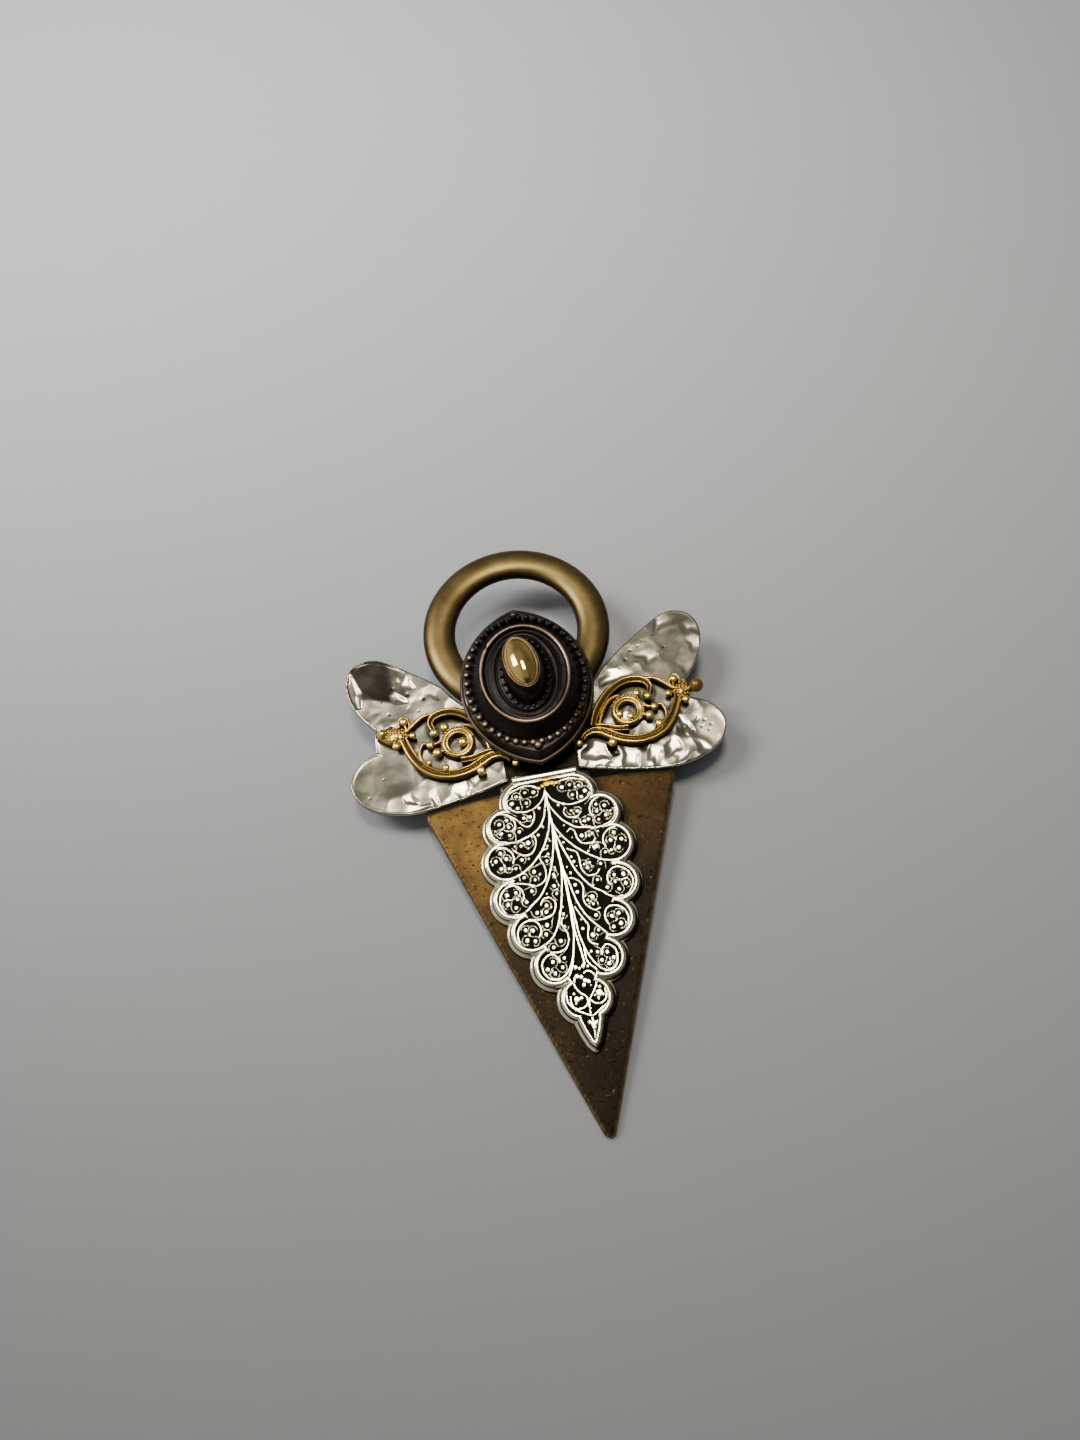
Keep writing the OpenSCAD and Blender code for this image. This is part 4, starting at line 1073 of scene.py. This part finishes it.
# The filigrees
def button(x, y, r, z):
    """A ball with a low, nearly flat crown."""
    steps = [(0.82, -1.0), (1.0, -0.5), (1.0, 0.0), (0.94, 0.32), (0.82, 0.5), (0.62, 0.62), (0.38, 0.68),
             (0.16, 0.7)]
    return stack([oval(r * k, r * k, z + r * h, 18, (x, y)) for k, h in steps], (x, y, z + 0.705 * r))


def ridged(w, wide):
    """Band with a broad ridge on one side, a groove, and a thin ridge on the other."""
    profile = [(-1, 0), (-1, 0.5), (-0.94, 0.7), (-0.78, 0.86), (-0.52, 0.93), (-0.24, 0.88),
               (-0.02, 0.72), (0.1, 0.6), (0.36, 0.6), (0.46, 0.72), (0.6, 0.84), (0.76, 0.86),
               (0.92, 0.76), (1, 0.58), (1, 0)]
    return [(-wide * a * w / 2, b) for a, b in profile][::wide]


def make_filigree(side, mat):
    parts, painted_glints = Parts(), []
    right = side > 0
    z0, top = WING_TOP, WING_TOP + FILIGREE_THICK

    def put(shape, painted_glint=0.0):
        """Adds a shape, dark on its lower sides (partly patina, partly painted shade), with a painted glint
        near its top.
        """
        v, f = shape
        parts.add(v, f, 0.9 * step(1.58, 1.86, v[:, 2]))
        painted_glints.append(painted_glint * step(1.7, 2.0, v[:, 2]))

    def level(p, z):
        return np.c_[p, np.full(len(p), z)]

    def band(points, w, wide, ends=(1, 1)):
        p = resample(smooth(points, 8), 0.16)
        k = np.linspace(0, 1, len(p))
        width = 1 + (ends[0] - 1) * step(0.22, 0, k) + (ends[1] - 1) * step(0.78, 1, k)
        put(sweep(level(p, z0), ridged(w, wide), scale=level(width[:, None], 1)), 0.25)

    def wire(points, r):
        """Round wire, and the web that carries it down to the sheet."""
        p = resample(smooth(points, 8), 0.14)
        h = FILIGREE_THICK - r
        put(sweep(level(p, z0 + h), oval(r, r, 0, 10)[:, :2]), 0.35)
        put(sweep(level(p, z0), [(r * 0.8, 0), (r * 0.8, h), (-r * 0.8, h), (-r * 0.8, 0)]))

    def grain(x, y, z, r, painted_glint):
        put(ball((x, y, z0 + z), r, 8, 6), painted_glint)

    def grains(points, offset, r, gap, z, part, painted_glint):
        """Row of grains along a part of a line, to its left."""
        p = resample(smooth(points, 8), 0.05)
        p = resample(p + side_of(p) * offset, gap)
        for x, y in p[int(part[0] * len(p)):int(part[1] * len(p))]:
            grain(x, y, z, r, painted_glint)

    band(LOWER_BAND, 1.26, -1, (0.55, 0.9))
    band(UPPER_BAND, 1.12, 1, (0.8, 0.6))
    wire(INNER_BAND, 0.26)
    band(BELLY_BAND, 0.85, 1)
    wire(CROWN_WIRE, 0.24)
    wire(CURL_WIRE, 0.2)
    wire(EYE_WIRE, 0.17)
    wire([HUB, ((HUB[0] + KNOB[0]) / 2, 1.6), KNOB[:2]], 0.42)
    for link in LINKS:
        wire(link, 0.2)
    grains(LOWER_BAND, 0.13, 0.12, 0.29, 0.74, (0.04, 0.74), 0.9)
    grains(UPPER_BAND, -0.1, 0.08, 0.2, 0.66, (0.02, 0.4), 0.5)
    grains(CROWN_WIRE, 0.16, 0.085, 0.2, 0.9, (0.1, 0.8), 0.6)
    # spiral ring: an outer and an inner ridge, with grains along a part
    ring = [(2.1, 0), (2.1, 0.5), (2.05, 0.75), (1.9, 0.93), (1.72, 0.99), (1.56, 0.92), (1.49, 0.8),
            (1.42, 0.86), (1.3, 0.9), (1.2, 0.8), (1.14, 0.6), (1.14, 0)]
    n = 64
    around = np.arange(n) * 2 * math.pi / n
    v = np.array([(r * math.cos(a), r * math.sin(a), z0 + h) for a in around for r, h in ring])
    put((v, lattice(n, len(ring), closed=True)), 0.45)
    for a in np.radians(np.arange(-50, 165, 9)):
        grain(2.02 * math.cos(a), 2.02 * math.sin(a), 0.92, 0.14, 0.7)
    for x, y, r in BALLS + (RIGHT_BALLS if right else LEFT_BALLS):
        put(button(x, y, r * 1.05, top), 1.0)
        put(ball((x, y, z0 + 0.45), r * 0.9, 14, 8))
    # the knob is large and smooth on the right, small and bright on the left, where it has a painted
    # highlight
    size, tone, painted_glint = (KNOB[2], 0.45, 0.15) if right else (KNOB[2] * 0.74, 0.9, 0.8)
    middle = np.array([*KNOB[:2], top])
    v, f = ball(middle, size, 28, 18)
    off = v - middle
    bump = 0.035 * (hash_noise(off[:, 0] * 6 + 20, off[:, 1] * 6 + 20, 1, 2) - 0.5)
    parts.add(v + off * bump[:, None], f, tone)
    painted_glints.append(np.full(len(v), painted_glint))
    put(ball((*HUB, z0 + 0.45), 1.08, 20, 12, 0.45))
    if not right:
        # the left one ends in a grained lozenge
        v, f = ball((0, 0, 0), 1, 28, 12)
        a = np.arctan2(v[:, 1], v[:, 0])
        k = (np.abs(np.cos(a)) + np.abs(np.sin(a))) ** -0.7
        put((v * level(np.c_[1.95 * k, 1.4 * k], 0.5) + [*LOZENGE, z0 + 0.55], f), 0.3)
        for row, r in ((-0.62, 0.12), (-0.34, 0.13), (0.0, 0.19), (0.34, 0.13), (0.62, 0.12)):
            for u in np.arange(-1.2 + abs(row), 1.21 - abs(row), 2.1 * r):
                z = 1.03 - 0.16 * u * u - 0.35 * row * row
                grain(LOZENGE[0] + u, LOZENGE[1] + row, z, r, 0.7)
    # grains on the hub, along a golden spiral
    sizes = np.random.default_rng(3)
    n = 26
    for i in range(n):
        away = 1.12 * math.sqrt((i + 0.5) / n)
        a = i * math.pi * (3 - math.sqrt(5))
        at = (HUB[0] + away * math.cos(a), HUB[1] + away * math.sin(a))
        grain(*at, 0.98 - 0.25 * away * away, sizes.uniform(0.13, 0.2), 0.6)
    v, f, t = parts.all()
    size, angle, at = FILIGREE_PLACE[side]
    x, y = turned(v[:, 0] * size * side, v[:, 1] * size, angle)
    v = np.c_[x + UPPER + at[0], y + at[1], v[:, 2]]
    if not right:
        f = [q[::-1] for q in f]
    tones = {"tone": t, "painted_glint": np.concatenate(painted_glints)}
    build("openwork_" + SIDES[side], v, f, mat, ["filigree_" + SIDES[side]], tones)


# The ring behind the head, its section a slightly uneven oval
def make_halo(mat):
    n, m = 160, 36
    a, b = np.meshgrid(np.arange(n) * 2 * math.pi / n, np.arange(m) * 2 * math.pi / m, indexing="ij")
    c, s = np.cos(b), np.sin(b)
    half = HALO_HALF * (1 + 0.008 * np.sin(3 * a + 1))
    rise = HALO_RISE * (1 + 0.01 * np.sin(5 * a))
    r = HALO_RADIUS + half * np.sign(c) * np.abs(c) ** 0.92
    z = HALO[2] + rise * np.sign(s) * np.abs(s) ** 0.95
    v = np.stack([HALO[0] + r * np.cos(a), HALO[1] + r * np.sin(a), z], -1).reshape(-1, 3)
    # painted light on the top of the section; painted shade underneath and on the inner and outer edges
    tone = step(-0.1, 0.75, s) * (1 - 0.75 * step(0.55, 0.92, np.abs(c)))
    faces = lattice(n, m, closed=True)
    build("halo", v, faces, mat, ["halo_ring"], {"tone": tone.ravel()})


# The head, from the flange in to the cabochon's seat:
# half width, half height, level, pointedness, tone
RINGS = [
    (8.1, 10.55, 2.5, 1, 0.2), (8.5, 11.04, 2.5, 1, 0.3), (8.55, 11.1, 2.62, 1, 0.45),
    (8.55, 11.1, 2.95, 1, 0.55), (8.48, 11.02, 3.09, 1, 0.62), (8.32, 10.8, 3.12, 1, 0.5),
    (8.22, 10.66, 3.1, 1, 0.15), (8.12, 10.52, 3.3, 1, 0.25), (7.98, 10.3, 4.2, 1, 0.42),
    (7.9, 10.15, 4.42, 1, 0.5), (7.78, 9.95, 4.5, 1, 0.42), (7.55, 9.6, 4.5, 0.8, 0.25),
    (7.3, 8.75, 4.46, 0.15, 0.05), (7.12, 8.42, 4.44, 0, 0.08), (7.0, 8.3, 4.55, 0, 0.3),
    (6.6, 7.9, 4.98, 0, 0.34), (6.2, 7.45, 5.45, 0, 0.33), (5.9, 7.1, 5.85, 0, 0.3),
    (5.78, 6.95, 6.12, 0, 0.12), (5.7, 6.88, 6.3, 0, 0.2), (5.28, 6.45, 6.3, 0, 0.1),
    (5.2, 6.35, 6.05, 0, 0.02), (5.0, 6.2, 5.98, 0, 0.1), (4.5, 5.95, 6.08, 0, 0.14),
    (4.05, 5.7, 6.16, 0, 0.18), (3.86, 5.55, 6.2, 0, 0.5), (3.78, 5.48, 6.12, 0, 0.2),
    (3.68, 5.4, 5.98, 0, 0.03), (3.55, 5.3, 6.03, 0, 0.1), (3.42, 5.2, 6.28, 0, 0.3),
    (3.25, 5.05, 6.34, 0, 0.2), (2.76, 4.55, 6.33, 0, 0.08), (2.66, 4.46, 6.42, 0, 0.25),
    (2.58, 4.36, 6.9, 0, 0.3), (2.5, 4.2, 7.6, 0, 0.3), (2.42, 4.0, 8.0, 0, 0.36),
    (2.3, 3.78, 8.15, 0, 0.2), (2.15, 3.6, 8.3, 0, 0.3), (2.15, 3.6, 8.85, 0, 0.5),
    (2.13, 3.58, 9.12, 0, 0.75), (2.07, 3.52, 9.2, 0, 0.9), (2.01, 3.46, 9.14, 0, 0.8),
    (2.0, 3.45, 8.9, 0, 0.3), (1.2, 2.0, 8.82, 0, 0.1),
]


def oval_radius(w, h, pointed, a):
    """Radius at angle a of an oval, or of one with pointed ends."""
    c, s = np.cos(a), np.sin(a)
    ellipse = 1 / np.sqrt((c / w) ** 2 + (s / h) ** 2)
    if pointed == 0:
        return ellipse
    # two arcs that meet in points
    arc = (w * w + h * h) / (2 * w)
    k = (w - arc) * np.abs(c)
    return ellipse * (1 - pointed) + (k + np.sqrt(k * k - (w - arc) ** 2 + arc * arc)) * pointed


def make_head(mat):
    n = 240
    a = np.arange(n) * 2 * math.pi / n
    parts = Parts()
    rings, tones = [], []
    for i, (w, h, z, pointed, tone) in enumerate(RINGS):
        r = oval_radius(w, h, pointed, a)
        k = step(6.4, 8.2, z)
        x, y = turned(r * np.cos(a), r * np.sin(a), CROWN_TURN * k)
        x, y = x + CROWN_SHIFT[0] * k, y + CROWN_SHIFT[1] * k
        uneven = 0.03 * (hash_noise(x * 1.3 + 30, y * 1.3 + 30, 1, i % 5) - 0.5)
        rings.append(np.c_[x, y, z + uneven * (3 < i < 34)])
        tones += [tone] * n
    parts.add(*stack(rings), tones)
    # copper oval wire, rubbed thin at one place; copper on top, with painted shade on its underside
    n, sides = 180, 12
    a = np.arange(n) * 2 * math.pi / n
    nick = 1 - 0.75 * np.exp(-((a - math.radians(139)) / 0.035) ** 2)
    v, f = sweep(oval(5.5, 6.68, 6.34, n), oval(0.245, 0.245, 0, sides)[:, :2], True, nick[:, None])
    wear_and_painted_light = 0.8 + 0.12 * np.sin(a * 3 + 0.4)
    parts.add(v, f, np.repeat(wear_and_painted_light, sides) * step(6.2, 6.5, v[:, 2]) + 0.05)
    # outer beads: larger at the lower left, with a painted highlight on their upper halves and a painted
    # glint on their tops, brighter on the left and darker at the top
    lumps = np.random.default_rng(21)
    n = 44
    for b in (np.arange(n) + 0.5) * 2 * math.pi / n:
        low = max(0, math.cos(b - math.radians(235)))
        r = (0.41 + 0.05 * low) * lumps.uniform(0.93, 1.05)
        v, f = ball((7.5 * math.cos(b), 8.85 * math.sin(b), 4.56), r, 12, 8, 1.1)
        wear_and_painted_light = 0.26 + 0.34 * step(-0.35, 0.35, math.cos(b - math.radians(215)))
        wear_and_painted_light -= 0.22 * step(0.45, 0.85, math.sin(b))
        parts.add(v, f, 0.1 + wear_and_painted_light * (step(4.62, 4.92, v[:, 2]) + 0.55 * step(4.9, 4.98, v[:, 2])))
    # inner beads, with a painted highlight on their tops
    n = 26
    for b in np.arange(n) * 2 * math.pi / n:
        v, f = ball((3.0 * math.cos(b), 4.8 * math.sin(b), 6.4), 0.26 * lumps.uniform(0.93, 1.05), 12, 8)
        parts.add(v, f, 0.1 + 0.42 * step(6.42, 6.66, v[:, 2]))
    # lump under each point, with a painted highlight on its top, brighter on the lower one
    for y, r, bright in ((-9.3, 0.62, 0.95), (9.3, 0.6, 0.5)):
        v, f = ball((0, y, 4.55), r, 20, 12)
        parts.add(v, f, 0.2 + bright * 0.75 * step(4.7, 5.15, v[:, 2]))
    v, f, t = parts.all()
    build("beaded_head", v + [*HEAD, 0], f, mat, ["head"], {"tone": t})


def make_cabochon(mat):
    n, m = 64, 20
    half_x, half_y, seat, rise = 1.95, 3.4, 9.15, 1.3
    rings = [oval(1.93, 3.37, 8.86, n)]
    for b in np.arange(m) * math.pi / 2 / m:
        rings.append(oval(half_x * math.cos(b), half_y * math.cos(b), seat + rise * math.sin(b), n))
    v, f = stack(rings, (0, 0, seat + rise))
    x, y = turned(v[:, 0], v[:, 1], CROWN_TURN)
    v = np.c_[x + HEAD[0] + CROWN_SHIFT[0], y + HEAD[1] + CROWN_SHIFT[1], v[:, 2]]
    build("gold_cabochon", v, f, mat, ["cabochon"], {})


make_plate(robe_patina())
make_leaf(silver_relief())
hammered, gold = silver_hammered(), gold_wire()
for side in SIDES:
    make_wing(side, hammered)
for side in SIDES:
    make_filigree(side, gold)
make_halo(antique_brass())
make_head(dark_bronze())
make_cabochon(polished_gold())
pin = frame["nodes"]["pin_back"]
pin.data.materials.clear()
pin.data.materials.append(plain_steel())

# Floor
paper = Material("floor")
tint = paper.mix(paper.noise(6, 3), (0.381, 0.389, 0.409), (0.395, 0.403, 0.423))
paper.set(Base_Color=tint, Roughness=0.75)
me = bpy.data.meshes.new("floor")
FLOOR_HALF = 0.9
corners = [(x * FLOOR_HALF, y * FLOOR_HALF, 0) for x, y in ((-1, -1), (1, -1), (1, 1), (-1, 1))]
me.from_pydata(corners, [], [(0, 1, 2, 3)])
me.materials.append(paper.mat)
floor = linked("floor", me)

# Camera: its turns against the brooch's flat frame, and the eye's place there in mm
FRAME_PX, FOCAL_PX, SENSOR = 1440, 1082, 36
ROLL, PITCH, TURN = math.radians(-2.93), math.radians(66.08), math.radians(10.02)
EYE = Vector((-1.17, 9.18, 135.39))
to_camera = Matrix.Rotation(PITCH - math.pi / 2, 3, "X") @ Matrix.Rotation(ROLL, 3, "Y")
from_camera = (to_camera @ Matrix.Rotation(TURN, 3, "Z")).transposed()
lay = Matrix.Rotation(TILT, 3, "X")
lens = bpy.data.cameras.new("camera")
lens.lens = FOCAL_PX / FRAME_PX * SENSOR
lens.sensor_width = SENSOR
lens.clip_start = 0.01
camera = linked("camera", lens)
place = (lay @ (from_camera @ EYE) + Vector(SHIFT)) * MM
camera.matrix_world = Matrix.Translation(place) @ (lay @ from_camera).to_4x4()
bpy.context.scene.camera = camera


# Light
def area(name, at, size, power, color, aim, spread):
    """Rectangular light, its place and size in metres, turned to aim, spread in degrees."""
    data = bpy.data.lights.new(name, "AREA")
    data.shape = "RECTANGLE"
    data.size, data.size_y = size
    data.energy = power
    data.color = color
    data.spread = math.radians(spread)
    at = Vector(at)
    toward = (at - Vector(aim)).to_track_quat("Z", "Y").to_matrix().to_4x4()
    linked(name, data).matrix_world = Matrix.Translation(at) @ toward


area("window", (-0.23, 0.15, 0.31), (0.18, 0.16), 0.455, (1.0, 0.99, 0.975), (-0.035, 0.185, 0), 70)
area("lamp", (0.010, 0.066, 0.43), (0.080, 0.130), 0.225, (1.0, 0.95, 0.80), (0, 0.13, 0), 76)

# Room: a pale wall on the left, dim ones behind and on the right, a dim ceiling, and dark elsewhere
sky = bpy.data.worlds.new("studio")
bpy.context.scene.world = sky
sky.use_nodes = True
room = Graph(sky.node_tree)
split = room.node("SeparateXYZ", {0: room.node("TexCoord").outputs["Generated"]})


def ranged(axis, a, b, low, high):
    """Passes smoothly from low at a to high at b along an axis."""
    limits = {"Value": split.outputs[axis], "From Min": a, "From Max": b, "To Min": low, "To Max": high}
    return room.node("MapRange", limits, interpolation_type="SMOOTHSTEP").outputs[0]


wall = room.times(ranged("X", -0.85, -0.1, 0.5, 0.0), ranged("Z", -0.05, 0.25, 0.0, 1.0))
rear = room.times(ranged("Y", 0.3, 0.85, 0.0, 0.15), ranged("Z", 0.0, 0.45, 0.15, 1.0))
ceiling = room.times(ranged("Z", 0.7, 0.93, 0.0, 0.22), ranged("X", 0.05, 0.42, 1.0, 0.3))
right = room.times(ranged("X", 0.1, 0.85, 0.0, 0.11), ranged("Z", 0.0, 0.3, 0.0, 1.0))
glow = 0.035
for surface in (wall, rear, ceiling, right):
    glow = room.math("ADD", surface, glow)
room.put(sky.node_tree.nodes["Background"].inputs[0], glow)
